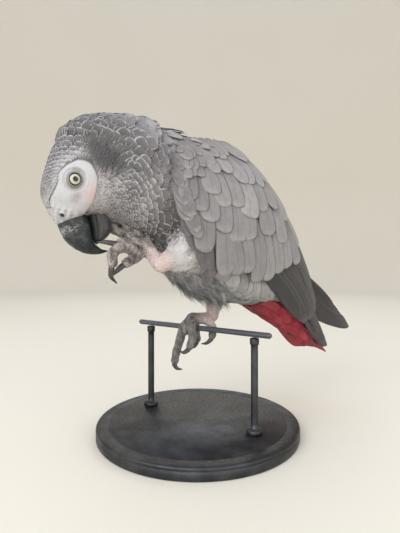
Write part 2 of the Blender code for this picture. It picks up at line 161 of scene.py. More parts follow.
def quads_between(rows: int, columns: int, wrap: bool) -> Array:
    """The quads of a grid of points numbered row by row.

    Args:
        rows: how many rows of points.
        columns: how many points in a row.
        wrap: whether the last column joins the first.

    Returns:
        Four point numbers for each quad.
    """
    r = np.arange(rows - 1)[:, None] * columns
    c = np.arange(columns if wrap else columns - 1)[None, :]
    d = (c + 1) % columns
    return np.stack([r + c, r + d, r + columns + d, r + columns + c], -1).reshape(-1, 4)


def repeated(points: Array, blocks: list[Array]) -> Shell:
    """Many copies of one small shape.

    Args:
        points: as (copy, point, 3).
        blocks: the faces of the first copy, in blocks of one size each.

    Returns:
        All the copies as one shell.
    """
    starts = np.arange(len(points))[:, None, None] * points.shape[1]
    return Shell(points.reshape(-1, 3), [(block + starts).reshape(-1, block.shape[-1]) for block in blocks])


def closed_rings(rings: Array) -> Shell:
    """A closed skin through rings of points, with a fan on a middle point at each end.

    Args:
        rings: points as (ring, place round it, 3).

    Returns:
        The shell, facing outwards, with the map "Run": how far round and how far along.
    """
    count, sides = rings.shape[:2]
    ends = np.stack([rings[0].mean(0), rings[-1].mean(0)])
    here = np.arange(sides)
    then = (here + 1) % sides
    first = np.stack([then, here, np.full(sides, count * sides)], -1)
    last_row = (count - 1) * sides
    last = np.stack([here + last_row, then + last_row, np.full(sides, count * sides + 1)], -1)
    run = np.stack(np.meshgrid(here / sides, np.linspace(0, 1, count)), -1).reshape(-1, 2)
    shell = Shell(
        np.concatenate([rings.reshape(-1, 3), ends]),
        [quads_between(count, sides, True), np.concatenate([first, last])],
        {"Run": np.concatenate([run, [[0.5, 0], [0.5, 1]]])},
    )
    return outward(shell)


def outward(shell: Shell) -> Shell:
    """Turns the faces over when the closed shell's signed volume is negative."""
    volume = 0.0
    for block in shell.faces:
        for k in range(1, block.shape[1] - 1):
            a, b, c = (shell.points[block[:, i]] for i in (0, k, k + 1))
            volume += float(np.einsum("ij,ij->", a, np.cross(b, c)))
    if volume < 0:
        shell.faces = [block[:, ::-1] for block in shell.faces]
    return shell


def tube(path: Array, radii: Array, count: int, sides: int, swell: float = 0.0, knots: float = 0.0) -> Shell:
    """A tube with round ends along a smooth path.

    The ring at each place is centre + radius * (cos a * side + sin a * up), where side is the normal of the
    path's own plane. The radius swells by a cosine with the number of knots, as a toe does over its joints.

    Args:
        path: the points that the middle line passes through.
        radii: a radius for each of them.
        count: how many rings lie between the ends.
        sides: points in a ring.
        swell: the share by which the radius rises and falls.
        knots: how many times it does so.

    Returns:
        The closed tube.
    """
    rows = curve(np.column_stack([path, radii]), count)
    points, size = rows[:, :3], rows[:, 3]
    size = size * (1 + swell * np.cos(np.linspace(0, 2 * math.pi * knots, count)))
    along = unit(np.gradient(points, axis=0))
    caps = np.radians([4.0, 22.0, 42.0, 62.0])
    start = points[0] - along[0] * size[0] * np.cos(caps)[:, None]
    finish = points[-1] + along[-1] * size[-1] * np.cos(caps[::-1])[:, None]
    centres = np.concatenate([start, points, finish])
    radius = np.concatenate([size[0] * np.sin(caps), size, size[-1] * np.sin(caps[::-1])])
    forward = np.concatenate([np.tile(along[0], (4, 1)), along, np.tile(along[-1], (4, 1))])
    plane = np.cross(points[len(points) // 2] - points[0], points[-1] - points[0])
    if np.linalg.norm(plane) < 0.5:
        plane = np.cross(along[0], (0.31, 0.22, 0.92))
    side = unit(plane - forward * (forward @ plane)[:, None])
    up = np.cross(forward, side)
    angle = turns(sides)[None, :, None]
    ring = np.cos(angle) * side[:, None] + np.sin(angle) * up[:, None]
    return closed_rings(centres[:, None] + radius[:, None, None] * ring)


def mark(mesh: bpy.types.Mesh, name: str, values: Array) -> None:
    """Gives a mesh's points an attribute: a colour if the values have three columns, else a number."""
    kind, key = ("FLOAT", "value") if values.ndim == 1 else ("FLOAT_COLOR", "color")
    if values.ndim == 2:
        values = np.column_stack([values, np.ones(len(values))])
    mesh.attributes.new(name, kind, "POINT").data.foreach_set(key, values.astype(np.float32).ravel())


def shown(name: str, mesh: bpy.types.Mesh, finish: Material | None) -> bpy.types.Object:
    """Puts a mesh into a new smooth object at the origin, with its material."""
    mesh.shade_smooth()
    if finish:
        mesh.materials.append(finish)
    made = bpy.data.objects.new(name, mesh)
    bpy.context.scene.collection.objects.link(made)
    return made


def make_object(name: str, shell: Shell, finish: Material | None, scale: float = MM) -> bpy.types.Object:
    """Puts a shell into a new object at the origin.

    Args:
        name: the object's name.
        shell: the shell, in mm.
        finish: its material.
        scale: what turns its numbers into the scene's units.

    Returns:
        The object, shaded smooth.
    """
    corners = np.concatenate([block.reshape(-1) for block in shell.faces]).astype(np.int32)
    sizes = np.concatenate([np.full(len(block), block.shape[1]) for block in shell.faces])
    mesh = bpy.data.meshes.new(name)
    mesh.vertices.add(len(shell.points))
    mesh.vertices.foreach_set("co", (shell.points * scale).astype(np.float32).ravel())
    mesh.loops.add(len(corners))
    mesh.loops.foreach_set("vertex_index", corners)
    mesh.polygons.add(len(sizes))
    mesh.polygons.foreach_set("loop_start", (np.cumsum(sizes) - sizes).astype(np.int32))
    mesh.update(calc_edges=True)
    for layer, places in shell.uvs.items():
        mesh.uv_layers.new(name=layer).data.foreach_set("uv", places[corners].astype(np.float32).ravel())
    for layer, values in shell.marks.items():
        mark(mesh, layer, values)
    return shown(name, mesh, finish)


def publish(piece: bpy.types.Object, slot: str, *replaced: str) -> None:
    """Fixes a piece to the parrot, hides the solids that it stands for, and reports its faces."""
    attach(piece, BODY)
    if replaced:
        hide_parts(*replaced)
    log.info("%s: %d faces", piece.name, len(piece.data.polygons))


def middle_of(node: str) -> tuple[Array, Array]:
    """The middle of a solid's box and its size, in mm."""
    low, high = (np.array(corner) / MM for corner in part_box(node))
    return (low + high) / 2, high - low


# ---- finishes


def linear(code: str) -> Array:
    """An sRGB hex colour, "#rrggbb", as linear red, green and blue."""
    value = np.array([int(code[i : i + 2], 16) for i in (1, 3, 5)]) / 255
    return np.where(value <= 0.04045, value / 12.92, ((value + 0.055) / 1.055) ** 2.4)


def mixed(first: Array, second: Array, share: Array) -> Array:
    """Colours between two, by a share for each point."""
    return first + (second - first) * np.asarray(share)[..., None]


def coated(tone: Array, *coats: tuple[str, Array]) -> Array:
    """Colours under coats laid one on another, each a hex colour with the share of it at each point."""
    for code, share in coats:
        tone = mixed(tone, linear(code), share)
    return tone


class Kind(Enum):
    """A kind of node: its type, the inputs that values go to in turn, the output read, and its settings."""

    PLACE = ("TexCoord", (), "Object", {})
    UNWRAP = ("UVMap", (), 0, {})
    COLOUR = ("Attribute", (), "Color", {})
    VALUE = ("Attribute", (), "Fac", {})
    SPLIT = ("SeparateXYZ", (0,), 0, {})
    STRETCH = ("Mapping", (0, "Scale"), 0, {})
    NOISE = ("TexNoise", (0, "Scale", "Detail"), "Fac", {})
    CELLS = ("TexVoronoi", (0, "Scale"), "Distance", {})
    STEP = (
        "MapRange",
        ("Value", "From Min", "From Max", "To Min", "To Max"),
        "Result",
        {"interpolation_type": "SMOOTHSTEP"},
    )
    MIX = ("Mix", (0, 6, 7), 2, {"data_type": "RGBA"})
    RELIEF = ("Bump", ("Height", "Strength", "Distance"), 0, {})
    SUM = ("Math", (0, 1), 0, {"operation": "ADD"})
    LESS = ("Math", (0, 1), 0, {"operation": "SUBTRACT"})
    TIMES = ("Math", (0, 1), 0, {"operation": "MULTIPLY"})
    TIMES_PLUS_HALF = ("Math", (0, 1), 0, {"operation": "MULTIPLY_ADD"})
    LARGER = ("Math", (0, 1), 0, {"operation": "MAXIMUM"})
    SIZE = ("Math", (0,), 0, {"operation": "ABSOLUTE"})
    SINE = ("Math", (0,), 0, {"operation": "SINE"})


def plug(node: bpy.types.Node, inputs: dict) -> None:
    """Sets a node's inputs to numbers or hex colours, or links the sockets that feed them."""
    for key, value in inputs.items():
        if isinstance(value, Socket):
            node.id_data.links.new(value, node.inputs[key])
        else:
            node.inputs[key].default_value = (*linear(value), 1.0) if isinstance(value, str) else value


def add(tree: bpy.types.NodeTree, kind: Kind, *values: object, **settings: object) -> Socket:
    """Adds one node with its settings and its values or links.

    Args:
        tree: the material's node tree.
        kind: the kind of node.
        values: a number, hex colour or socket for each of its inputs in turn.
        settings: settings beyond the kind's own.

    Returns:
        The output that the kind names.
    """
    name, places, output, own = kind.value
    made = tree.nodes.new("ShaderNode" + name)
    for key, value in {**own, **settings}.items():
        setattr(made, key, value)
    plug(made, dict(zip(places, values)))
    return made.outputs[output]


def grain(node: Callable, size_mm: float, detail: float, stretch: tuple = (1, 1, 1)) -> Socket:
    """Cloudy noise on Object coordinates.

    Args:
        node: adds a node.
        size_mm: the size of a grain in mm.
        detail: how many finer octaves it has.
        stretch: how much finer it is along each axis.

    Returns:
        The noise's value, about 0.5 on average.
    """
    place = node(Kind.STRETCH, node(Kind.PLACE), stretch)
    return node(Kind.NOISE, place, 1 / (size_mm * MM), detail)


@dataclass(frozen=True)
class Finish:
    """A material, named for the real one. Each kind of finish says what feeds the shader."""

    name: str

    def inputs(self, node: Callable) -> dict:
        """What feeds the shader's inputs, worked out with a function that adds a node."""
        raise NotImplementedError

    def make(self) -> Material:
        """Builds the material."""
        made = bpy.data.materials.new(self.name)
        made.use_nodes = True
        tree = made.node_tree
        plug(tree.nodes["Principled BSDF"], self.inputs(partial(add, tree)))
        return made


@dataclass(frozen=True)
class FeatherKeratin(Finish):
    """Feather: fine parallel barbs on a shaft, dull and softly lit, with a pale worn rim in places.

    Attributes:
        barbs: how many barbs run along one vane. Real ones are about 0.3 mm apart, and they are drawn coarser
            here so that they show.
        rim: the colour of the worn rim.
        shaft: how much darker the shaft is.
        roughness: the dull keratin's roughness.
        relief: the depth of the barbs in mm.
        sheen: how strong the dusty bloom is.
        gloss: how strongly the surface reflects.
    """

    barbs: float
    rim: str
    shaft: float
    roughness: float
    relief: float
    sheen: float = 0.10
    gloss: float = 0.25

    def inputs(self, node: Callable) -> dict:
        """The point colour, barred by slanting barbs, darker at the shaft and pale at the rim."""
        across = node(Kind.SPLIT, node(Kind.UNWRAP, uv_map="Vane"))
        along = across.node.outputs[1]
        offset = node(Kind.SIZE, node(Kind.LESS, across, 0.5))
        slant = node(Kind.LESS, along, node(Kind.TIMES, offset, 0.8))
        wave = node(Kind.SINE, node(Kind.TIMES, slant, self.barbs * 2 * math.pi))
        barbs = node(Kind.TIMES, node(Kind.TIMES_PLUS_HALF, wave, 0.5), grain(node, 2.2, 3.0))
        sides = node(Kind.STEP, offset, 0.34, 0.46)
        end = node(Kind.STEP, along, 0.84, 0.96)
        worn = node(Kind.TIMES, node(Kind.LARGER, sides, end), node(Kind.VALUE, attribute_name="Rim"))
        shaft = node(Kind.STEP, offset, 0.045, 0.01, 0.0, self.shaft)
        patches = node(Kind.STEP, grain(node, 5.0, 2.0), 0.35, 0.7, 0.0, 0.14)
        tone = node(Kind.MIX, shaft, node(Kind.COLOUR, attribute_name="Coat"), "#272424")
        tone = node(Kind.MIX, node(Kind.STEP, barbs, 0.1, 0.6, 0.0, 0.16), tone, "#000000")
        tone = node(Kind.MIX, patches, node(Kind.MIX, worn, tone, self.rim), "#272727")
        height = node(Kind.LESS, barbs, node(Kind.TIMES, shaft, -0.6))
        return {
            "Base Color": tone,
            "Normal": node(Kind.RELIEF, height, 0.5, self.relief * MM),
            "Roughness": self.roughness,
            "IOR": 1.54,
            "Sheen Weight": self.sheen,
            "Sheen Roughness": 0.6,
            "Specular IOR Level": self.gloss,
        }


@dataclass(frozen=True)
class ParrotHide(Finish):
    """Bare hide: powdery and finely creased on the face, granular on the cere, pebbled on the feet."""

    name: str = "powdery_bare_hide"

    def inputs(self, node: Callable) -> dict:
        """The point colour with soft blotches, fine creases, and dark-rimmed pebbles in places."""
        cells = node(Kind.CELLS, node(Kind.PLACE), 1 / (0.85 * MM))
        blotch = node(Kind.STEP, grain(node, 3.0, 3.0), 0.4, 0.65, 0.0, 0.10)
        tone = node(Kind.MIX, blotch, node(Kind.COLOUR, attribute_name="Coat"), "#8d8582")
        gaps = node(Kind.TIMES, node(Kind.STEP, cells, 0.35, 0.75), node(Kind.VALUE, attribute_name="Pebble"))
        height = node(Kind.LESS, node(Kind.TIMES, grain(node, 0.7, 4.0), 0.5), gaps)
        return {
            "Base Color": node(Kind.MIX, node(Kind.TIMES, gaps, 0.75), tone, "#4d4541"),
            "Normal": node(Kind.RELIEF, height, 0.55, 0.25 * MM),
            "Roughness": 0.82,
            "IOR": 1.42,
            "Specular IOR Level": 0.25,
            "Subsurface Weight": 0.06,
            "Subsurface Scale": 1.5 * MM,
        }


@dataclass(frozen=True)
class BillHorn(Finish):
    """Bill horn: black keratin with a dull polish, growth lines, and pale flakes where the old layers lift.

    Attributes:
        flaking: how much of the surface near the root is flaked.
        tones: the horn's two colours, in streaks.
    """

    flaking: float
    tones: tuple = ("#1d2022", "#2a2d2f")

    def inputs(self, node: Callable) -> dict:
        """Streaks along the bill under grey dust, flaked pale in scratched patches where the value asks."""
        run = node(Kind.UNWRAP, uv_map="Run")
        streaks = node(Kind.NOISE, node(Kind.STRETCH, run, (26.0, 6.0, 1.0)), 1.0, 3.0)
        scratches = node(Kind.NOISE, node(Kind.STRETCH, run, (24.0, 110.0, 1.0)), 1.0, 4.0)
        tone = node(Kind.MIX, node(Kind.STEP, streaks, 0.35, 0.7), *self.tones)
        dust = node(Kind.STEP, grain(node, 4.0, 4.0), 0.5, 0.72, 0.0, 0.25)
        ragged = node(Kind.TIMES_PLUS_HALF, scratches, 0.6)
        ragged = node(Kind.SUM, ragged, node(Kind.TIMES, grain(node, 1.6, 5.0), 0.5))
        flake = node(Kind.TIMES, node(Kind.VALUE, attribute_name="Flake"), self.flaking)
        patches = node(Kind.STEP, node(Kind.SUM, flake, ragged), 1.42, 1.72)
        height = node(Kind.SUM, node(Kind.TIMES, streaks, 0.4), patches)
        return {
            "Base Color": node(Kind.MIX, patches, node(Kind.MIX, dust, tone, "#6d6f70"), "#9c9a97"),
            "Roughness": node(Kind.STEP, patches, 0.0, 1.0, 0.46, 0.8),
            "Normal": node(Kind.RELIEF, height, 0.4, 0.2 * MM),
            "IOR": 1.54,
            "Specular IOR Level": 0.36,
        }


@dataclass(frozen=True)
class ClawHorn(Finish):
    """Claw horn: dark grey keratin with streaks along the claw and a soft polish."""

    name: str = "claw_horn_keratin"

    def inputs(self, node: Callable) -> dict:
        """Streaks that run from the root to the point."""
        stretched = node(Kind.STRETCH, node(Kind.UNWRAP, uv_map="Run"), (14.0, 2.0, 1.0))
        streaks = node(Kind.NOISE, stretched, 1.0, 4.0)
        return {
            "Base Color": node(Kind.MIX, node(Kind.STEP, streaks, 0.3, 0.7), "#232223", "#514d4b"),
            "Normal": node(Kind.RELIEF, streaks, 0.35, 0.15 * MM),
            "Roughness": 0.36,
            "IOR": 1.54,
        }


@dataclass(frozen=True)
class EyeGlass(Finish):
    """Living eye: a wet clear cornea over a pale straw iris with fine rays, a black pupil and a dark rim."""

    name: str = "wet_eye"

    def inputs(self, node: Callable) -> dict:
        """Bands by the value Reach, which is the distance from the pupil's middle in mm."""
        reach = node(Kind.VALUE, attribute_name="Reach")
        stretched = node(Kind.STRETCH, node(Kind.UNWRAP, uv_map="Run"), (12.0, 3.0, 1.0))
        rays = node(Kind.NOISE, stretched, 5.0, 4.0)
        iris = node(Kind.MIX, node(Kind.STEP, rays, 0.3, 0.7), "#c3c0b1", "#a19d8b")
        inner = node(Kind.MIX, node(Kind.STEP, reach, 1.38, 1.7), "#6f6a56", iris)
        pupil = node(Kind.MIX, node(Kind.STEP, reach, 1.32, 1.44), "#171511", inner)
        return {
            "Base Color": node(Kind.MIX, node(Kind.STEP, reach, 2.7, 3.05), pupil, "#332e26"),
            "Roughness": 0.25,
            "IOR": 1.38,
            "Coat Weight": 0.3,
            "Coat Roughness": 0.05,
        }


@dataclass(frozen=True)
class HammeredEnamel(Finish):
    """Hammered enamel on steel wire: dark grey paint that dried in small dimples, with a low gloss."""

    name: str = "hammered_enamel_wire"

    def inputs(self, node: Callable) -> dict:
        """Dimples about 0.7 mm across, paler on their rims."""
        rims = node(Kind.STEP, node(Kind.CELLS, node(Kind.PLACE), 1 / (0.7 * MM)), 0.25, 0.75)
        return {
            "Base Color": node(Kind.MIX, rims, "#3c3f43", "#585b60"),
            "Normal": node(Kind.RELIEF, rims, 0.6, 0.2 * MM),
            "Roughness": 0.42,
            "Metallic": 0.2,
        }


@dataclass(frozen=True)
class BlackenedSteel(Finish):
    """Blackened steel of the stand: turned, oiled and dark, with faint tool marks round its axis."""

    name: str = "blackened_turned_steel"

    def inputs(self, node: Callable) -> dict:
        """Dark metal, rubbed paler in patches, with fine grain."""
        patches = node(Kind.STEP, grain(node, 14.0, 3.0), 0.35, 0.7)
        marks = grain(node, 0.6, 2.0, (0.25, 0.25, 1.0))
        return {
            "Base Color": node(Kind.MIX, patches, "#37383a", "#4b4c4e"),
            "Roughness": node(Kind.STEP, marks, 0.3, 0.7, 0.38, 0.52),
            "Normal": node(Kind.RELIEF, marks, 0.12, 0.1 * MM),
            "Metallic": 0.85,
        }


@dataclass(frozen=True)
class StudioPaper(Finish):
    """Seamless background paper: matt, pale and warm, with no pattern of its own."""

    name: str = "seamless_background_paper"

    def inputs(self, node: Callable) -> dict:
        """One pale tone with a very faint unevenness."""
        faint = node(Kind.STEP, grain(node, 400.0, 1.0), 0.3, 0.7, 0.0, 0.04)
        return {
            "Base Color": node(Kind.MIX, faint, "#e2dbcc", "#cbbcaa"),
            "Roughness": 0.95,
            "Specular IOR Level": 0.1,
        }


# ---- the parrot's form

# Stations of the head: (top forward, top up, low forward, low up, half width), from the eyes' middle.
HEAD_STATIONS = (
    (-38, 2, -38, -38, 15),
    (-30, 9, -30, -38, 18.5),
    (-20, 14.2, -20, -37, 20),
    (-8, 15.4, -8, -34, 20),
    (3, 15.2, 2, -31.5, 19.6),
    (11, 13.6, 7, -29.5, 17.6),
    (16.5, 9.6, 10, -26, 14.8),
    (20.5, 5.4, 12.2, -20, 12.2),
    (23.8, 1.2, 14, -14.8, 9),
    (25.2, -2.4, 18, -10, 4.5),
)
# Stations of the neck and trunk: (y, z, half depth, half width).
BODY_STATIONS = (
    (-110, 190, 6, 6),
    (-107, 191, 14, 12),
    (-101, 193.5, 22, 17),
    (-93, 194, 29, 21),
    (-79, 192, 34.5, 26),
    (-62, 190, 36.5, 30.5),
    (-44, 183, 37.5, 35),
    (-22, 173, 44, 39.5),
    (2, 159.5, 50.5, 41.5),
    (27, 143.5, 48, 40),
    (50, 129, 36, 36),
    (71, 116, 24.5, 28.5),
    (87, 104.5, 14.5, 20),
    (97, 97, 7.5, 12),
    (102, 93, 3, 5),
)
# How far the bare face reaches round its middle on the head's side, every 30 degrees from the bill.
FACE_MIDDLE = (4.0, -2.0)
FACE_REACH = (22.0, 17.6, 11.6, 9.8, 11.8, 14.0, 16.6, 14.2, 12.0, 11.4, 12.8, 17.0, 22.0)
NOSTRIL = (19.6, -0.6)  # forward and up of the eyes' middle
NOSTRIL_HALF_SPAN = 7.6
LIDS = (3.6, 3.2)  # half axes of the eye's opening
RAISED_THIGH = (118, 126)  # heights between which the standing thigh gives way to the raised one
RAISED_FOOT = (108, 118)  # heights between which the standing foot gives way to the raised one
REACHES = (14, 26, 34, 43, 52, 62, 90, 200)  # distances from the bill's root at which the coat changes


@dataclass(frozen=True)
class LegPlan:
    """The middle lines of one leg, each as points, with their radii where they change.

    Attributes:
        word: left or right.
        thigh: the feathered upper leg's line.
        thigh_radii: its radii.
        shank: the bare lower leg's line.
        shank_radii: its radii.
        toes: one line for each toe.
        claws: one line for each claw.
        palm: the line of the pad that the toes start from.
    """

    word: str
    thigh: tuple
    thigh_radii: tuple
    shank: tuple
    shank_radii: tuple
    toes: tuple
    claws: tuple
    palm: tuple
    toe_radius: float = 3.5
    claw_radius: float = 1.9


RAISED_LEG = LegPlan(
    word="left",
    thigh=((34, -12, 152), (38, -26, 145), (39, -39, 139), (37, -49, 133.5), (35, -55, 131)),
    thigh_radii=(20, 19, 13.5, 8, 5.2),
    shank=((35, -56.5, 129.5), (31, -58, 132.5), (26, -58.5, 137.5), (20.5, -59, 142.5)),
    shank_radii=(5.2, 4.4, 4.4, 4.6),
    toes=(
        ((19, -59.5, 143.5), (15.5, -66.3, 147.6), (12.4, -73, 150.6), (9.6, -77.4, 152.6)),
        ((20, -61, 142.5), (21, -70, 143.6), (21.5, -78, 143)),
        ((22, -62, 139.5), (26, -73, 139.8), (29, -82, 139.8), (30, -87.2, 136), (29.5, -87, 130.5)),
        ((22, -61, 139), (23.5, -68.5, 134), (25.5, -76, 130.4)),
    ),
    claws=(
        ((8.2, -79.6, 153.4), (4.6, -83, 153.2), (2.8, -87.5, 150.4)),
        ((21.5, -81.5, 142.4), (19, -87, 143.4), (15.5, -91.2, 143.4)),
        ((29, -87.6, 127), (27.6, -87.2, 122.4), (24.5, -82, 118.2)),
        ((25.8, -79, 128.6), (25, -82.5, 125.4), (22.4, -84.5, 122.4)),
    ),
    palm=((21.5, -59, 141), (21.2, -62, 141.6), (21.5, -65.5, 141.8)),
)
STANDING_LEG = LegPlan(
    word="right",
    thigh=((-4, 29, 118), (-6.5, 26, 107), (-8, 23.5, 97), (-8.5, 22, 90)),
    thigh_radii=(14, 11.5, 7.5, 5),
    shank=((-8.5, 21.5, 87), (-8.5, 17, 86.2), (-8, 9, 86.4), (-7.5, 0, 86.6)),
    shank_radii=(5.0, 4.4, 4.4, 4.8),
    toes=(
        ((-8, -1, 86), (-10.5, -6.4, 80), (-12, -8.6, 71), (-13, -11.6, 60.5), (-12.6, -13.4, 54)),
        ((-6, -1, 86), (-1, -5.6, 81.5), (2.6, -7.2, 74.5), (4, -10.6, 67.8)),
        ((-6, 3, 86), (0.5, 9.4, 84.8), (4, 11.6, 79.4), (3.4, 11.8, 73.4)),
        ((-9, 3, 86), (-12.5, 6.6, 83), (-14, 8.4, 76), (-12.6, 8.8, 68.6)),
    ),
    claws=(
        ((-12.2, -14.2, 51), (-11, -12.4, 48), (-9.4, -8.8, 47)),
        ((4.2, -13, 65), (4, -16.4, 63.6), (3, -19.4, 64.4)),
        ((3, 11, 70.4), (1.8, 7.6, 67.6), (0.4, 3.4, 67.2)),
        ((-12.2, 8, 65.6), (-11.2, 4.8, 63), (-10, 1, 62.6)),
    ),
    palm=((-7.6, 1.5, 86.4), (-7.4, -2.4, 83.5), (-7.0, -5.2, 78.5)),
)


@dataclass
class HeadFrame:
    """The head's own directions, read from the eyes: forward to the bill, up to the crown, to its left.

    Attributes:
        pitch: how far the bill points below the level.
        eye_radius: the eyeball's radius.
    """

    pitch: float = math.radians(74)
    eye_radius: float = field(init=False)
    middle: Array = field(init=False)
    axes: Array = field(init=False)
    half_span: float = field(init=False)

    def __post_init__(self) -> None:
        """Reads the eyeballs' boxes."""
        left_eye, size = middle_of("eye_left")
        right_eye, _ = middle_of("eye_right")
        self.eye_radius = float(size[2]) / 2
        self.middle = (left_eye + right_eye) / 2
        self.half_span = float(np.linalg.norm(left_eye - right_eye)) / 2
        left = unit(left_eye - right_eye)
        level = np.array([left[1], -left[0], 0.0])
        rise = np.array([0.0, 0.0, 1.0])
        forward = level * math.cos(self.pitch) - rise * math.sin(self.pitch)
        crown = level * math.sin(self.pitch) + rise * math.cos(self.pitch)
        self.axes = np.stack([forward, crown, left])

    def place(self, forward: Array, up: Array, left: Array) -> Array:
        """Points of the row frame from head coordinates."""
        return self.middle + np.stack(np.broadcast_arrays(forward, up, left), -1) @ self.axes

    def read(self, points: Array) -> tuple[Array, Array, Array]:
        """Head coordinates of points: forward, up and left."""
        local = (points - self.middle) @ self.axes.T
        return local[..., 0], local[..., 1], local[..., 2]

    def rings(self, stations: tuple, count: int, sides: int, narrowing: float) -> Array:
        """Rings of the head or the bill.

        A ring is the oval (cos a, sin a) laid between the station's top and low points, scaled to its half
        width, which falls towards the top by the share given.

        Args:
            stations: (top forward, top up, low forward, low up, half width) rows.
            count: how many rings.
            sides: points in a ring.
            narrowing: the share by which the top is narrower.

        Returns:
            The rings' points.
        """
        rows = curve(stations, count)[:, :, None]
        angle = turns(sides)
        across, up = np.cos(angle), np.sin(angle)
        share = (up + 1) / 2
        forward = rows[:, 2] + (rows[:, 0] - rows[:, 2]) * share
        rise = rows[:, 3] + (rows[:, 1] - rows[:, 3]) * share
        return self.place(forward, rise, rows[:, 4] * across * (1 - narrowing * up))


@dataclass
class Figure:
    """What is known at every place of the parrot: the lie, depth, size and colour of its coat.

    Attributes:
        head: the head's directions.
        legs: both legs.
    """

    head: HeadFrame
    legs: tuple = (RAISED_LEG, STANDING_LEG)
    middle_x: float = field(init=False)
    bill_root: Array = field(init=False)
    spine: Array = field(init=False)
    spine_way: Array = field(init=False)

    def __post_init__(self) -> None:
        """Works out the middle plane, the bill's root and the spine."""
        self.middle_x = float(middle_of("tail")[0][0])
        self.bill_root = self.head.place(20.0, -10.0, 0.0)
        rows = curve(BODY_STATIONS, 200)
        self.spine = rows[:, :2]
        self.spine_way = unit(np.gradient(self.spine, axis=0))

    def reach(self, points: Array) -> Array:
        """The distance of points from the bill's root."""
        return np.linalg.norm(points - self.bill_root, axis=-1)

    def station(self, points: Array) -> Array:
        """The number of the nearest spine sample for each point."""
        flat = points[..., 1:]
        gaps = ((flat[:, None, :] - self.spine[None]) ** 2).sum(-1)
        return gaps.argmin(1)

    def face_gap(self, points: Array) -> Array:
        """The distance from the face's middle over the face's own reach in that direction: 1 on its edge.

        The reach is read by the angle from stations round a point of the head's side.
        """
        f, u, _ = self.head.read(points)
        df, du = f - FACE_MIDDLE[0], u - FACE_MIDDLE[1]
        angle = np.degrees(np.arctan2(du, df)) % 360
        return np.hypot(df, du) / curve_at(np.array(FACE_REACH)[:, None], angle / 30)[..., 0]

    def bare(self, points: Array) -> Array:
        """How bare the head is: 1 on the face and the cere, 0 in the feathers."""
        f, u, w = self.head.read(points)
        face = 1 - ramp(self.face_gap(points), 0.92, 1.08)
        face = face * ramp(np.abs(w), 4.0, 7.5)
        cere = ramp(f, 17.0, 19.5) * ramp(u, -17.0, -13.5)
        return np.maximum(face, cere) * ramp(f, -14, -11)

    def ear(self, points: Array) -> Array:
        """1 in the dark hair-like patch over the ear, an oval on the head's side, 0 elsewhere."""
        f, u, w = self.head.read(points)
        along = ((f + 14) * 0.385 - (u + 12) * 0.923) / 14.0
        athwart = ((f + 14) * 0.923 + (u + 12) * 0.385) / 9.0
        return (1 - ramp(np.hypot(along, athwart), 0.45, 1.4)) * ramp(np.abs(w), 6, 11)

    def ridge(self, points: Array) -> Array:
        """How far points lie behind the plane where the ruffled neck meets the mantle, in mm."""
        return points[..., 1] + 51 + (228 - points[..., 2]) * 0.31

    def mantle(self, points: Array) -> Array:
        """1 on the upper back behind the ruffled neck, where the coat is loose and thick, 0 elsewhere."""
        behind = ramp(self.ridge(points), -4, 5) * ramp(points[:, 1], 30, 4) * ramp(points[:, 2], 190, 204)
        return behind * ramp(np.abs(points[:, 0] - self.middle_x), 30, 16)

    def crop(self, points: Array) -> Array:
        """Painted shade: 1 in the hollow below the throat, between neck and raised thigh, 0 elsewhere."""
        return bump(points[:, 2], 146, 9) * bump(points[:, 1], -50, 12)

    def downy(self, points: Array) -> Array:
        """How downy the coat is: on the belly in front of the standing leg and round the thighs."""
        below = ramp(points[:, 2], 150, 128) * ramp(points[:, 1], -62, -45) * ramp(points[:, 1], 22, 6)
        share, _, run = self.thigh(points)
        return np.maximum(below, share * (0.4 + 0.6 * ramp(run, 1.0, 0.8)))

    def thigh_line(self, leg: LegPlan) -> tuple[Array, Array]:
        """The points along a leg's thigh, with the radius at each."""
        rows = curve(np.column_stack([leg.thigh, leg.thigh_radii]), 40)
        return rows[:, :3], rows[:, 3]

    def foot_line(self, leg: LegPlan) -> Array:
        """The points along a leg's bare ankle, lower leg and toes."""
        ankle = self.thigh_line(leg)[0][29:]
        return np.concatenate([ankle, curve(leg.shank, 16)] + [curve(toe, 16) for toe in leg.toes])

    def foot(self, points: Array) -> Array:
        """1 on the bare lower legs and the toes, 0 elsewhere, by the distance from their middle lines."""
        share = np.zeros(len(points))
        for leg in self.legs:
            gap = np.sqrt(((points[:, None] - self.foot_line(leg)[None]) ** 2).sum(-1).min(1))
            share = np.maximum(share, 1 - ramp(gap, 6.2, 8.0))
        return share

    def thigh(self, points: Array) -> tuple[Array, Array, Array]:
        """How much each point belongs to a thigh, the way along it there, and how far down it lies."""
        share = np.zeros(len(points))
        way = np.zeros((len(points), 3))
        run = np.zeros(len(points))
        for leg in self.legs:
            line, radii = self.thigh_line(leg)
            gaps = np.sqrt(((points[:, None] - line[None]) ** 2).sum(-1)) - radii[None]
            at = gaps.argmin(1)
            gap = gaps[np.arange(len(points)), at]
            mine = (1 - ramp(gap, 1.0, 5.0)) * ramp(at / 39, 0.12, 0.35)
            better = mine > share
            share = np.where(better, mine, share)
            way[better] = unit(np.gradient(line, axis=0))[at[better]]
            run[better] = at[better] / 39
        return share, way, run

    def flow(self, points: Array, normals: Array) -> Array:
        """The lie of the coat: away from the bill, then along the spine, and down on the thighs."""
        away = unit(points - self.bill_root)
        way = self.spine_way[self.station(points)]
        along = np.column_stack([np.zeros(len(points)), way])
        side = np.sign(points[:, :1] - self.middle_x) * np.array([[0.10, 0, -0.16]])
        lie = away + (along + side - away) * ramp(self.reach(points), 42, 82)[:, None]
        share, leg_way, _ = self.thigh(points)
        lie = lie + (leg_way - lie) * share[:, None]
        return unit(lie - normals * (lie * normals).sum(-1, keepdims=True))

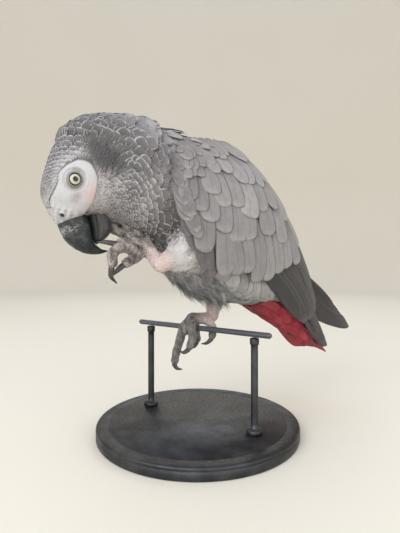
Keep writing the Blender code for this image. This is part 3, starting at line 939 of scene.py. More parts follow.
    def depth(self, points: Array) -> Array:
        """The coat's depth in mm: thin on the head, deep on the body, none on the face and the feet."""
        deep = np.interp(self.reach(points), [18, 35, 55, 80, 115], [0.6, 0.8, 1.3, 2.2, 2.8])
        share, _, run = self.thigh(points)
        deep = deep + (np.interp(run, [0.3, 0.8, 1.0], [2.4, 1.6, 0.4]) - deep) * share
        return deep * (1 - self.bare(points)) * (1 - self.foot(points))

    def spacing(self, points: Array) -> Array:
        """The distance between feather roots in mm, smallest by the bill and growing along the body."""
        wide = np.interp(self.reach(points), REACHES, [0.6, 0.78, 1.15, 1.9, 2.8, 3.5, 4.1, 4.8])
        wide = wide + (0.78 - wide) * 0.9 * self.ear(points)
        wide = wide * (1 - 0.36 * (1 - ramp(self.face_gap(points), 1.05, 1.5)))
        share, _, run = self.thigh(points)
        return wide + (np.interp(run, [0.2, 0.7, 1.0], [3.6, 2.4, 1.4]) - wide) * share

    def plumage(self, points: Array, normals: Array) -> Array:
        """The feathers' colour by formula.

        Its coats are, in order, the neck, the face's pale border, the cheeks, the body, the ears, the back,
        the cape, the collar with painted light on its paler feathers, the painted shade of the hollow below
        the throat, the belly, the flanks, the thighs and the red under the tail.

        Args:
            points: places on the parrot.
            normals: the outward directions there.

        Returns:
            Linear colours.
        """
        reach = self.reach(points)
        ahead, up, _ = self.head.read(points)
        _, back, high = points.T
        cheek = ramp(up, 2, -8) * ramp(ahead, -15, -4)
        gap = self.face_gap(points)
        ridge = self.ridge(points)
        share, _, run = self.thigh(points)
        tone = coated(
            linear("#838180"),
            ("#6b6766", ramp(reach, 24, 60)),
            ("#c6c4c2", 0.85 * (1 - ramp(gap, 1.0, 1.4))),
            ("#cdc5c1", 0.9 * cheek * (1 - ramp(gap, 1.1, 2.7))),
            ("#a8a3a1", ramp(reach, 52, 80)),
            ("#474443", 0.9 * self.ear(points)),
            ("#a39e9b", ramp(normals[:, 2], -0.2, 0.7) * ramp(reach, 70, 110)),
            ("#a29d9b", ramp(ridge, -6, 4) * ramp(high, 198, 212)),
            # Painted light: the collar's paler feathers are lifted further to offset the shade between the
            # ruffled neck and the wing.
            ("#b5b0ae", 0.45 * (bump(ridge, 0, 11) * ramp(high, 198, 186))),
            # Painted shade in the hollow below the throat.
            ("#4f4a47", 0.85 * self.crop(points)),
            ("#8e8e8c", ramp(high, 150, 118) * ramp(back, -55, -20)),
            ("#a5a19d", ramp(back, 2, 16) * ramp(high, 136, 122)),
            ("#d3ccc7", share * ramp(run, 0.15, 0.5) * 0.9),
            ("#a81e2e", ramp(back, 36, 42) * ramp(high, 102.5, 100.5)),
        )
        return tone * (1 + 0.07 * ripple(points, 26, 5)[:, None])

    def hide(self, points: Array, normals: Array) -> Array:
        """The skin's colour: white face, grey cere, rosy ankles, grey feet, and painted shade below the coat,
        in the fold in front of each eye and in the nostrils.

        Args:
            points: places on the skin.
            normals: the outward directions there.

        Returns:
            Linear colours.
        """
        f, u, _ = self.head.read(points)
        eye = np.hypot(f / LIDS[0], u / LIDS[1])
        face = coated(
            linear("#b3b1b0"),
            ("#baa29e", bump(np.hypot(f - 5, (u + 12) * 1.2), 0, 6.5)),
            # Painted shade: grey in the sunken fold in front of the eye, where faced() hollows the skin.
            ("#8f898c", 0.75 * bump(np.hypot((f - 9.5) / 1.4, u + 4.0), 0, 2.6)),
            ("#8e8b89", 0.5 * bump(eye, 1.45, 0.2) + 0.3 * bump(eye, 1.8, 0.12)),
            ("#7c776a", 0.9 * (1 - ramp(eye, 1.18, 1.3))),
            ("#3f3b34", 0.8 * bump(eye, 1.31, 0.06)),
            ("#25211d", 0.95 * (1 - ramp(eye, 1.02, 1.1))),
        )
        cere = coated(linear("#c3c1c0"), ("#9b9a99", 0.5 + 0.5 * ripple(points, 3.2, 9)))
        face = mixed(face, cere, ramp(f, 14.0, 18.0) * 0.85)
        # Painted shade: dark inside each nostril, where faced() sinks the skin into a hole.
        for side in (-1, 1):
            nostril = np.linalg.norm(points - self.head.place(*NOSTRIL, side * NOSTRIL_HALF_SPAN), axis=-1)
            face = coated(face, ("#2d2a29", 1 - ramp(nostril, 0.9, 2.1)))
        high = points[:, 2]
        share, _, run = self.thigh(points)
        # Painted shade: under the feathers the skin takes half the plumage's colour, so that the gaps between
        # feathers look dark.
        tone = coated(
            mixed(self.plumage(points, normals) * 0.5, face, self.bare(points)),
            ("#dac6c1", share * ramp(run, 0.3, 0.6) * ramp(high, *RAISED_THIGH)),
            ("#c9aaa4", share * ramp(run, 0.7, 0.95)),
        )
        foot = coated(
            linear("#8c8784"),
            ("#b3a9a1", ramp(high, *RAISED_FOOT)),
            ("#625d5a", 0.5 + 0.5 * ripple(points, 5, 3)),
            ("#cfbab4", 0.85 * self.rosy(points)),
        )
        return mixed(tone, foot, self.foot(points))

    def rosy(self, points: Array) -> Array:
        """1 on the rosy hide of the ankles and lower legs, 0 on the grey toes."""
        raised = ramp(points[:, 2], *RAISED_FOOT)
        upper = raised * ramp(points[:, 0], 23, 32) * ramp(points[:, 1], -68, -60)
        return upper + (1 - raised) * ramp(points[:, 1], -2, 10) * ramp(points[:, 2], 77, 84)

    def unwrap(self, points: Array) -> Array:
        """The skin laid flat: how far round the spine, and how far along it, with the head's own band."""
        at = self.station(points)
        centre = self.spine[at]
        way = self.spine_way[at]
        up = (points[:, 1] - centre[:, 0]) * -way[:, 1] + (points[:, 2] - centre[:, 1]) * way[:, 0]
        turn = np.arctan2(points[:, 0] - self.middle_x, up) / (2 * math.pi) + 0.5
        on_head = self.reach(points) < 55
        along = 0.3 + 0.7 * at / len(self.spine)
        return np.column_stack([turn, np.where(on_head, 0.3 * self.reach(points) / 55, along)])


# ---- the skin


def normals_of(points: Array, quads: Array) -> Array:
    """Unit normals at the points of a mesh of quads, as the sum of the crossed diagonals round each."""
    cross = np.cross(points[quads[:, 2]] - points[quads[:, 0]], points[quads[:, 3]] - points[quads[:, 1]])
    total = np.zeros_like(points)
    for corner in range(4):
        for axis in range(3):
            total[:, axis] += np.bincount(quads[:, corner], cross[:, axis], len(points))
    return unit(total)


def relaxed(points: Array, edges: Array, rounds: int, weight: Array | float = 1.0) -> Array:
    """Smooths points without shrinking: each round moves them half way to their neighbours' mean, then back.

    Args:
        points: the mesh's points.
        edges: its edges.
        rounds: how many pairs of steps.
        weight: how much each point takes part.

    Returns:
        The smoothed points.
    """
    a, b = edges.T
    count = np.maximum(np.bincount(edges.ravel(), minlength=len(points)), 1)[:, None]
    share = np.broadcast_to(np.asarray(weight, float), (len(points),))[:, None]
    for _ in range(rounds):
        for step in (0.5, -0.52):
            total = np.stack([
                np.bincount(a, points[b, k], len(points)) + np.bincount(b, points[a, k], len(points))
                for k in range(3)
            ], 1)
            points = points + (total / count - points) * step * share
    return points


def mesh_arrays(mesh: bpy.types.Mesh) -> tuple[Array, Array]:
    """A mesh's points and edges as arrays."""
    points = np.empty(len(mesh.vertices) * 3)
    mesh.vertices.foreach_get("co", points)
    edges = np.empty(len(mesh.edges) * 2, np.int32)
    mesh.edges.foreach_get("vertices", edges)
    return points.reshape(-1, 3), edges.reshape(-1, 2)


def one_body(shell: Shell, voxel: float) -> bpy.types.Mesh:
    """Melts overlapping closed shells into one closed mesh of quads by a voxel remesh.

    Args:
        shell: the shells, in mm.
        voxel: the voxel's side in mm.

    Returns:
        The mesh, still in mm.
    """
    form = make_object("form", shell, None, 1.0)
    step = form.modifiers.new("melt", "REMESH")
    step.mode = "VOXEL"
    step.voxel_size = voxel
    bpy.context.view_layer.update()
    graph = bpy.context.evaluated_depsgraph_get()
    mesh = bpy.data.meshes.new_from_object(form.evaluated_get(graph))
    old = form.data
    bpy.data.objects.remove(form)
    bpy.data.meshes.remove(old)
    return mesh


def finer(mesh: bpy.types.Mesh, chosen: Array) -> None:
    """Splits the edges whose two ends are chosen, which makes those faces half as large."""
    shape = bmesh.new()
    shape.from_mesh(mesh)
    shape.edges.ensure_lookup_table()
    _, edges = mesh_arrays(mesh)
    marked = np.flatnonzero(chosen[edges].all(1))
    split = [shape.edges[i] for i in marked]
    bmesh.ops.subdivide_edges(shape, edges=split, cuts=1, use_grid_fill=True)
    shape.to_mesh(mesh)
    shape.free()


@dataclass
class Surface:
    """The skin as a surface that feathers are rooted on."""

    points: Array
    quads: Array
    normals: Array = field(init=False)
    face_normals: Array = field(init=False)
    tree: BVHTree = field(init=False)

    def __post_init__(self) -> None:
        """Works out smooth normals and the search tree."""
        self.normals = normals_of(self.points, self.quads)
        self.face_normals = unit(self.normals[self.quads].mean(1))
        self.tree = BVHTree.FromPolygons(self.points.tolist(), self.quads.tolist())

    def nearest(self, places: Array) -> tuple[Array, Array]:
        """The nearest points of the surface to places, with the smooth normals there."""
        found = [self.tree.find_nearest(place) for place in places.tolist()]
        spots = np.array([hit[0][:] for hit in found])
        return spots, self.face_normals[[hit[2] for hit in found]]

    def scatter(self, spacing: Callable, wanted: Callable, seed: int) -> tuple[Array, Array]:
        """Evenly spaced roots: random candidates, thinned so that none lies within its neighbour's spacing.

        Args:
            spacing: gives the spacing at points.
            wanted: gives which points may carry a root, from points and normals.
            seed: starts the random numbers.

        Returns:
            The roots and the normals there.
        """
        rng = np.random.default_rng(seed)
        corners = self.points[self.quads]
        crossed = np.cross(corners[:, 2] - corners[:, 0], corners[:, 3] - corners[:, 1])
        area = 0.5 * np.linalg.norm(crossed, axis=1)
        hope = area / spacing(corners.mean(1)) ** 2 * 2.6
        chosen = rng.choice(len(hope), int(hope.sum()), p=hope / hope.sum())
        a, b = rng.random((2, len(chosen), 1))
        c = corners[chosen]
        spots = (c[:, 0] * (1 - a) + c[:, 1] * a) * (1 - b) + (c[:, 3] * (1 - a) + c[:, 2] * a) * b
        normals = self.face_normals[chosen]
        keep = wanted(spots, normals)
        spots, normals = spots[keep], normals[keep]
        room = spacing(spots)
        tree = KDTree(len(spots))
        for index, spot in enumerate(spots.tolist()):
            tree.insert(spot, index)
        tree.balance()
        free = np.ones(len(spots), bool)
        taken = []
        for index, (spot, gap) in enumerate(zip(spots.tolist(), room.tolist())):
            if free[index]:
                taken.append(index)
                free[[hit[1] for hit in tree.find_range(spot, gap)]] = False
        return spots[taken], normals[taken]


@dataclass
class Skin:
    """The parrot's one skin, from the cere to the toes, in place of its solids of flesh.

    Attributes:
        figure: what is known of the coat.
        voxel: the mesh's fineness in mm before the face and the feet are made finer.
    """

    figure: Figure
    voxel: float = 1.2
    surface: Surface = field(init=False)

    def forms(self) -> Shell:
        """The head, the body, the thighs, the lower legs and the toes as overlapping closed shells."""
        head = closed_rings(self.figure.head.rings(HEAD_STATIONS, 70, 56, 0.12))
        parts = [head, closed_rings(self.body_rings(120, 72))]
        for leg in self.figure.legs:
            parts.append(tube(leg.thigh, leg.thigh_radii, 30, 28))
            parts.append(tube((leg.thigh[-1], *leg.shank), (leg.thigh_radii[-1], *leg.shank_radii), 24, 24))
            parts.append(tube(leg.palm, (4.6, 5.2, 4.4), 16, 24))
            for toe in leg.toes:
                radii = np.linspace(leg.toe_radius * 1.08, leg.toe_radius * 0.86, len(toe))
                parts.append(tube(toe, radii, 26, 20, 0.05, len(toe) - 1))
        return joined(parts)

    def body_rings(self, count: int, sides: int) -> Array:
        """Rings of the neck and trunk: superellipses of power 2.15, square to the spine."""
        rows = curve(BODY_STATIONS, count)
        along = unit(np.gradient(rows[:, :2], axis=0))
        angle = turns(sides)
        across, up = (np.sign(v) * np.abs(v) ** (2 / 2.15) for v in (np.cos(angle), np.sin(angle)))
        x = self.figure.middle_x + rows[:, 3:4] * across
        y = rows[:, 0:1] - rows[:, 2:3] * up * along[:, 1:2]
        z = rows[:, 1:2] + rows[:, 2:3] * up * along[:, 0:1]
        return np.stack([x, y, z], -1)

    def build(self, finish: Material) -> bpy.types.Object:
        """Melts the forms together, sinks them by the coat's depth and shapes the face.

        Args:
            finish: the hide's material.

        Returns:
            The skin.
        """
        mesh = one_body(self.forms(), self.voxel)
        points, edges = mesh_arrays(mesh)
        quads = np.empty(len(mesh.polygons) * 4, np.int32)
        mesh.polygons.foreach_get("vertices", quads)
        quads = quads.reshape(-1, 4)
        points = relaxed(points, edges, 8)
        normals = normals_of(points, quads)
        points = points - normals * self.figure.depth(points)[:, None]
        points = relaxed(points, edges, 3)
        self.surface = Surface(points, quads)
        mesh.vertices.foreach_set("co", points.ravel())
        mesh.update()
        head = self.figure.head
        bare = (self.figure.bare(points) > 0.02) & (head.read(points)[0] > -16)
        finer(mesh, bare | (self.figure.foot(points) > 0.05))
        points, _ = mesh_arrays(mesh)
        f, u, w = head.read(points)
        finer(mesh, (np.hypot(f, u) < 8.5) & (np.abs(w) > 9))  # round the eyes
        points, edges = mesh_arrays(mesh)
        points = relaxed(points, edges, 5, np.maximum(self.figure.bare(points), self.figure.foot(points)))
        mesh.vertices.foreach_set("co", points.ravel())
        mesh.update()
        normals = np.empty(len(points) * 3)
        mesh.vertex_normals.foreach_get("vector", normals)
        normals = normals.reshape(-1, 3)
        colour = self.figure.hide(points, normals)
        scaly = self.figure.foot(points) * (1 - 0.5 * self.figure.rosy(points))
        pebble = np.maximum(scaly, 0.12 * ramp(head.read(points)[0], 14, 18) * self.figure.bare(points))
        points = self.faced(points, normals)
        mesh.vertices.foreach_set("co", (points * MM).ravel())
        mark(mesh, "Coat", colour)
        mark(mesh, "Pebble", pebble)
        mesh.update()
        mesh.name = "skin"
        return shown("skin", mesh, finish)

    def faced(self, points: Array, normals: Array) -> Array:
        """Shapes the lids, the folds, the cere and the nostrils on the head.

        Round each eye the skin is drawn to the ball, then rises and falls in rings. Each ring is a bell of e,
        the distance from the eye's middle over the opening's half axes.

        Args:
            points: the skin's points.
            normals: their outward directions.

        Returns:
            The points after shaping.
        """
        head = self.figure.head
        f, u, w = head.read(points)
        side = np.sign(w)
        e = np.hypot(f / LIDS[0], u / LIDS[1])
        near = (e < 3.2) & (np.abs(w) > 8)
        span = np.hypot(f, u)
        ball = head.half_span + np.sqrt(np.maximum(head.eye_radius**2 - span**2, 0.1))
        width = np.abs(w)
        drawn = width + (ball + 0.25 - width) * (1 - ramp(e, 1.15, 2.1))
        rings = 0.5 * bump(e, 1.16, 0.13) - 0.28 * bump(e, 1.36, 0.08) + 0.16 * bump(e, 1.62, 0.11)
        rings += -0.2 * bump(e, 1.86, 0.12) + 0.1 * bump(e, 2.15, 0.16)
        low = ball + 0.16 - 6 * ramp(e, 1.4, 1.9)
        lids = np.where(e > 1.02, np.maximum(drawn + rings, low), drawn + rings)
        lids = lids - 2.4 * (1 - ramp(e, 0.84, 1.0))
        moved = points + np.where(near, (lids - width) * side, 0)[:, None] * head.axes[2]
        bare = self.figure.bare(points)
        fold = 0.6 * bump(np.hypot(f - 10, u + 9), 0, 4)
        fold -= 0.7 * bump(np.hypot((f - 9.5) / 1.5, u + 4.2), 0, 2.4)
        brow = 0.5 * bump(np.hypot(f + 2, u - 6.2), 0, 3.2)
        cere = ramp(f, 14.5, 18.0) * (0.55 + 0.14 * ripple(points, 2.4, 21))
        wrinkles = 0.07 * ripple(points, 1.6, 22) + 0.08 * ripple(points * np.array([1, 1, 0.4]), 2.6, 23)
        height = (fold + brow + cere + wrinkles) * bare
        for sign in (-1, 1):
            hole = np.linalg.norm(points - head.place(*NOSTRIL, sign * NOSTRIL_HALF_SPAN), axis=1)
            height += 0.5 * bump(hole, 2.1, 0.6) - 2.2 * (1 - ramp(hole, 0.7, 1.5))
        return moved + normals * height[:, None]


# ---- feathers


class Tip(Enum):
    """The outline of a vane: its share of width at the root, where it starts to close, and how squarely."""

    ROUND = (0.35, 0.62, 2.3)
    SQUARED = (0.55, 0.76, 3.0)
    LANCE = (0.55, 0.6, 1.7)

    def width(self, run: Array) -> Array:
        """The share of the full half width at each place along the vane.

        It rises from the root as a sine, then falls over the last stretch as a quarter of a superellipse.

        Args:
            run: places from 0 at the root to 1 at the tip.

        Returns:
            The shares.
        """
        start, turn, power = self.value
        rise = start + (1 - start) * np.sin(np.clip(run / turn, 0, 1) * math.pi / 2)
        fall = np.clip((run - turn) / (1 - turn), 0, 1)
        return rise * np.maximum(1 - fall**power, 0.0) ** (1 / power) + 0.02


# Where the rings of a vane lie along it, by how many there are.
RUNS = {
    5: np.array([0, 0.45, 0.75, 0.93, 1.0]),
    7: np.array([0, 0.3, 0.55, 0.74, 0.87, 0.96, 1.0]),
    12: np.array([0, 0.12, 0.25, 0.38, 0.5, 0.62, 0.72, 0.81, 0.89, 0.945, 0.98, 1.0]),
}
TOP = 9  # points across a large vane's top
UNDER = 5  # points across its underside
FRAYED = 5  # how many of its last rings have a worn rim


def vanes(
    centre: Array,
    normal: Array,
    left: Array,
    right: Array,
    camber: Array,
    roll: Array,
    thickness: float,
    across: int = TOP,
    under: int = UNDER,
    fray: Array | None = None,
) -> Shell:
    """Closed thin vanes on many middle lines at once.

    A ring of each vane is an arch: at u from -1 to 1 across, the height is camber * (1 - u^2) + roll * u, and
    the underside lies below it by thickness * sqrt(1 - u^2). Rings are joined from the root to the tip.

    Args:
        centre: the middle lines, as (feather, row, 3).
        normal: the outward directions there.
        left: the half width on the left at each row.
        right: the half width on the right at each row.
        camber: the arch's height for each feather.
        roll: how far each feather leans to one side.
        thickness: of the vane at its middle.
        across: points across the top.
        under: points across the underside.
        fray: how far each point is drawn back towards the root, or None.

    Returns:
        One shell, with the map "Vane": across from 0 to 1 and along from 0 to 1.
    """
    count, rows = centre.shape[:2]
    forward = unit(np.gradient(centre, axis=1))
    side = unit(np.cross(forward, normal))
    lift = np.cross(side, forward)
    top = np.linspace(-1, 1, across)
    low = np.linspace(1, -1, under + 2)[1:-1]
    u = np.concatenate([top, low])
    sunk = np.concatenate([np.zeros(across), thickness * np.sqrt(1 - low**2)])
    reach = np.where(u < 0, left[..., None], right[..., None]) * u
    scale = np.maximum(left, right) / np.maximum(np.maximum(left, right).max(1, keepdims=True), 1e-6)
    arch = camber[:, None, None] * scale[..., None] * (1 - u**2) + roll[:, None, None] * u * scale[..., None]
    arch = arch - sunk * np.clip(scale[..., None] * 1.5, 0.1, 1)
    points = centre[:, :, None] + side[:, :, None] * reach[..., None] + lift[:, :, None] * arch[..., None]
    if fray is not None:
        points = points - forward[:, :, None] * fray[..., None]
    ring = len(u)
    ends = np.stack([np.arange(ring)[::-1], np.arange(ring) + (rows - 1) * ring])
    shell = repeated(points.reshape(count, -1, 3), [quads_between(rows, ring, True), ends])
    place = np.stack(np.broadcast_arrays((u + 1) / 2, RUNS[rows][:, None]), -1).reshape(-1, 2)
    shell.uvs["Vane"] = np.tile(place, (count, 1))
    return shell


def frayed(rng: np.random.Generator, count: int, depth: float) -> Array:
    """How far each point of large vanes is drawn back, at random near the tip, so that it looks worn."""
    fray = np.zeros((count, len(RUNS[12]), TOP + UNDER))
    fray[:, -FRAYED:, :TOP] = np.abs(rng.normal(0, depth, (count, FRAYED, TOP)))
    return fray


def carried(shell: Shell, count: int, roots: Array, patch: float, colour: Array, rim: Array) -> Shell:
    """Gives each vane of a shell its bake patch, its colour and its rim strength.

    Args:
        shell: vanes of equal size, one after another.
        count: how many vanes it holds.
        roots: each root's place on the skin laid flat.
        patch: how large a vane's patch is there.
        colour: a colour for each vane, or for each row of each vane.
        rim: a rim strength for each vane.

    Returns:
        The same shell.
    """
    each = len(shell.points) // count
    shell.uvs["OFBake"] = np.repeat(roots, each, 0) + (shell.uvs["Vane"] - 0.5) * patch
    if colour.ndim == 2:
        shell.marks["Coat"] = np.repeat(colour, each, 0)
    else:
        shell.marks["Coat"] = np.repeat(colour.reshape(-1, 3), each // colour.shape[1], 0)
    shell.marks["Rim"] = np.repeat(rim, each)
    return shell


@dataclass
class BodyCoat:
    """The contour feathers of the head, neck and trunk, rooted on the skin and lying along it.

    Attributes:
        figure: what is known of the coat.
        surface: the skin.
        shields: the wings' plates, under which no feather is needed.
        seed: starts the random numbers.
    """

    figure: Figure
    surface: Surface
    shields: list["WingSheet"]
    seed: int = 11
    overlap: float = 4.2
    half_width: float = 1.36
    patch: float = 0.003
    fine_reach: float = 44.0
    limit: int = 2400

    def wanted(self, points: Array, normals: Array) -> Array:
        """Whether a root may stand at each place: not on bare skin, under a wing or in the thigh's down."""
        open_place = (self.figure.bare(points) < 0.55) & (self.figure.foot(points) < 0.3)
        share, _, run = self.figure.thigh(points)
        open_place &= (share < 0.5) | (run < 0.45) | (points[:, 2] < 120)
        for shield in self.shields:
            open_place &= ~shield.covers(points)
        return open_place

    def paths(
        self, roots: Array, normals: Array, length: Array, run: Array, turn: Array
    ) -> tuple[Array, Array]:
        """Middle lines that start at the roots and follow the lie of the coat over the skin.

        Args:
            roots: where the feathers grow.
            normals: the outward directions there.
            length: each feather's length.
            run: the rows' places along a feather.
            turn: how far each feather strays from the lie, as a tangent.

        Returns:
            The lines and the normals along them.
        """
        points, ups = [roots], [normals]
        way = self.figure.flow(roots, normals)
        way = unit(way + np.cross(normals, way) * turn[:, None])
        for step in np.diff(run):
            spot, up = self.surface.nearest(points[-1] + way * (length * step)[:, None])
            lie = self.figure.flow(spot, up)
            lie = unit(lie + np.cross(up, lie) * turn[:, None])
            way = way * 0.5 + lie * 0.5
            way = unit(way - up * (way * up).sum(1, keepdims=True))
            points.append(spot)
            ups.append(up)
        return np.stack(points, 1), np.stack(ups, 1)

    def to_row(self, tips: Array, rng: np.random.Generator) -> Array:
        """How much longer each feather must be for its tip to reach its row, an arc round the bill's root.

        The rows stand a little further apart than the roots, so that the pale rims join into the arcs of the
        ruffled neck.

        Args:
            tips: the tips' distances from the bill's root.
            rng: the random numbers.

        Returns:
            The differences in mm.
        """
        table = np.linspace(10, 190, 500)
        pitch = np.interp(table, REACHES, [0.8, 1.1, 1.6, 2.6, 3.8, 4.9, 5.4, 6.0])
        number = np.cumsum((table[1] - table[0]) / pitch)
        row = np.round(np.interp(tips, table, number)) + rng.normal(0, 0.1, len(tips))
        return np.interp(row, number, table) - tips

    def build(self, finish: Material) -> None:
        """Grows all the feathers, in pieces by region.

        Args:
            finish: the feathers' material.
        """
        roots, normals = self.surface.scatter(self.figure.spacing, self.wanted, self.seed)
        reach = self.figure.reach(roots)
        order = np.argsort(reach, kind="stable")
        roots, normals, reach = roots[order], normals[order], reach[order]
        fine = int((reach < self.fine_reach).sum())
        blocks = [("forehead", 0, fine // 2, 5, 5), ("crown", fine // 2, fine, 5, 5)]
        words = ("nape", "neck", "shoulder", "breast", "back", "belly", "flank", "rump", "vent", "tail_root")
        count = max(1, math.ceil((len(roots) - fine) / self.limit))
        edges = np.linspace(fine, len(roots), count + 1).astype(int)
        blocks += [(words[i], edges[i], edges[i + 1], 7, 5) for i in range(count)]
        for word, a, b, rows, across in blocks:
            self.grow(word, roots[a:b], normals[a:b], rows, across, finish)

    def grow(self, word: str, roots: Array, normals: Array, rows: int, across: int, finish: Material) -> None:
        """Grows the feathers of one region.

        Args:
            word: the region's name.
            roots: where they grow.
            normals: the outward directions there.
            rows: how many rings a vane has.
            across: points across a vane.
            finish: the material.
        """
        rng = np.random.default_rng(self.seed + len(roots))
        count = len(roots)
        run = RUNS[rows]
        room = self.figure.spacing(roots)
        ear = self.figure.ear(roots)
        mantle = self.figure.mantle(roots)
        reach = self.figure.reach(roots)
        thigh, _, _ = self.figure.thigh(roots)
        overlap = np.interp(reach, [38, 60], [self.overlap, 0.8 * self.overlap]) * (1 - 0.35 * thigh)
        length = room * overlap * rng.uniform(0.88, 1.15, count) * (1 + 0.9 * ear + 0.4 * mantle)
        ruffled = ramp(reach, 20, 32) * ramp(reach, 110, 80)
        length = length + self.to_row(reach + length, rng) * ruffled * (1 - ear)
        ridge = self.figure.ridge(roots)
        top = ramp(roots[:, 2], 196, 208)
        short = np.clip(-ridge * 0.95, 4.0, 99.0)
        length = np.where((ridge < -3) & (top > 0.5), np.minimum(length, short), length)
        lines, ups = self.paths(roots, normals, length, run, rng.normal(0, 0.06, count))
        depth = np.maximum(self.figure.depth(lines[:, -1]), 0.3)
        stand = bump(ridge, -13, 6) * (0.35 + 0.65 * ramp(normals[:, 2], -0.3, 0.6))
        stand = (stand + 0.22 * bump(ridge, -27, 9)) * (ridge < -4)
        tip = depth * rng.uniform(0.88, 1.0, count) * (1 - 0.35 * ear) + stand * rng.uniform(0.5, 3.0, count)
        ruff = bump(reach, 56, 16) * (1 - top * ramp(ridge, -7, 1)) * (1 - ear) * (1 - thigh)
        tip = tip + 5.0 * mantle * rng.uniform(0.7, 1.0, count) + 0.9 * ruff
        lift = -0.15 + (tip[:, None] + 0.15) * (1 - (1 - run) ** 2.0)
        centre = lines + ups * lift[..., None]
        broad = np.interp(reach, [18, 36, 60, 90, 130], [0.8, 1.1, 1.2, 1.2, 1.1]) * (1 - 0.4 * thigh)
        half = room * self.half_width * broad * rng.uniform(0.9, 1.14, count) * (1 - 0.4 * ear)
        profile = Tip.ROUND.width(run)[None] * (1 - ear[:, None]) + Tip.LANCE.width(run)[None] * ear[:, None]
        width = half[:, None] * profile
        roll = rng.normal(0, 0.035, count) * room
        camber = room * (0.09 - 0.07 * ear)
        shell = vanes(centre, ups, width, width, camber, roll, 0.09, across, 1)
        tone = self.figure.plumage(roots, normals) * rng.normal(1, 0.05, count)[:, None]
        tone = tone * (1 - 0.12 * rng.random(count) ** 3)[:, None]
        dusk = np.interp(run, [0, 0.5, 0.72, 0.9, 1.0], [0.4, 0.5, 0.66, 0.86, 1.0])
        open_air = np.clip(1 - 0.75 * ear - 0.8 * mantle - 0.6 * np.clip(stand, 0, 1), 0, 1)
        shade = 1 + (dusk - 1) * (np.interp(reach, [60, 110], [1.0, 0.55]) * open_air)[:, None]
        rim = np.interp(reach, [14, 35, 60, 85, 105, 130], [0.8, 0.85, 0.8, 0.7, 0.45, 0.25])
        rim = rim * (1 - 0.9 * ear) * rng.uniform(0.75, 1.1, count) * (1 - 0.75 * top * ramp(ridge, -7, 1))
        narrowing = np.interp(reach, [38, 60], [1.0, 1.9])
        shell.uvs["Vane"][:, 1] **= np.repeat(narrowing, len(shell.points) // count)
        places = self.figure.unwrap(roots)
        carried(shell, count, places, self.patch, tone[:, None] * shade[..., None], rim)
        publish(make_object(f"plumage_{word}", shell, finish), "plumage_grey")


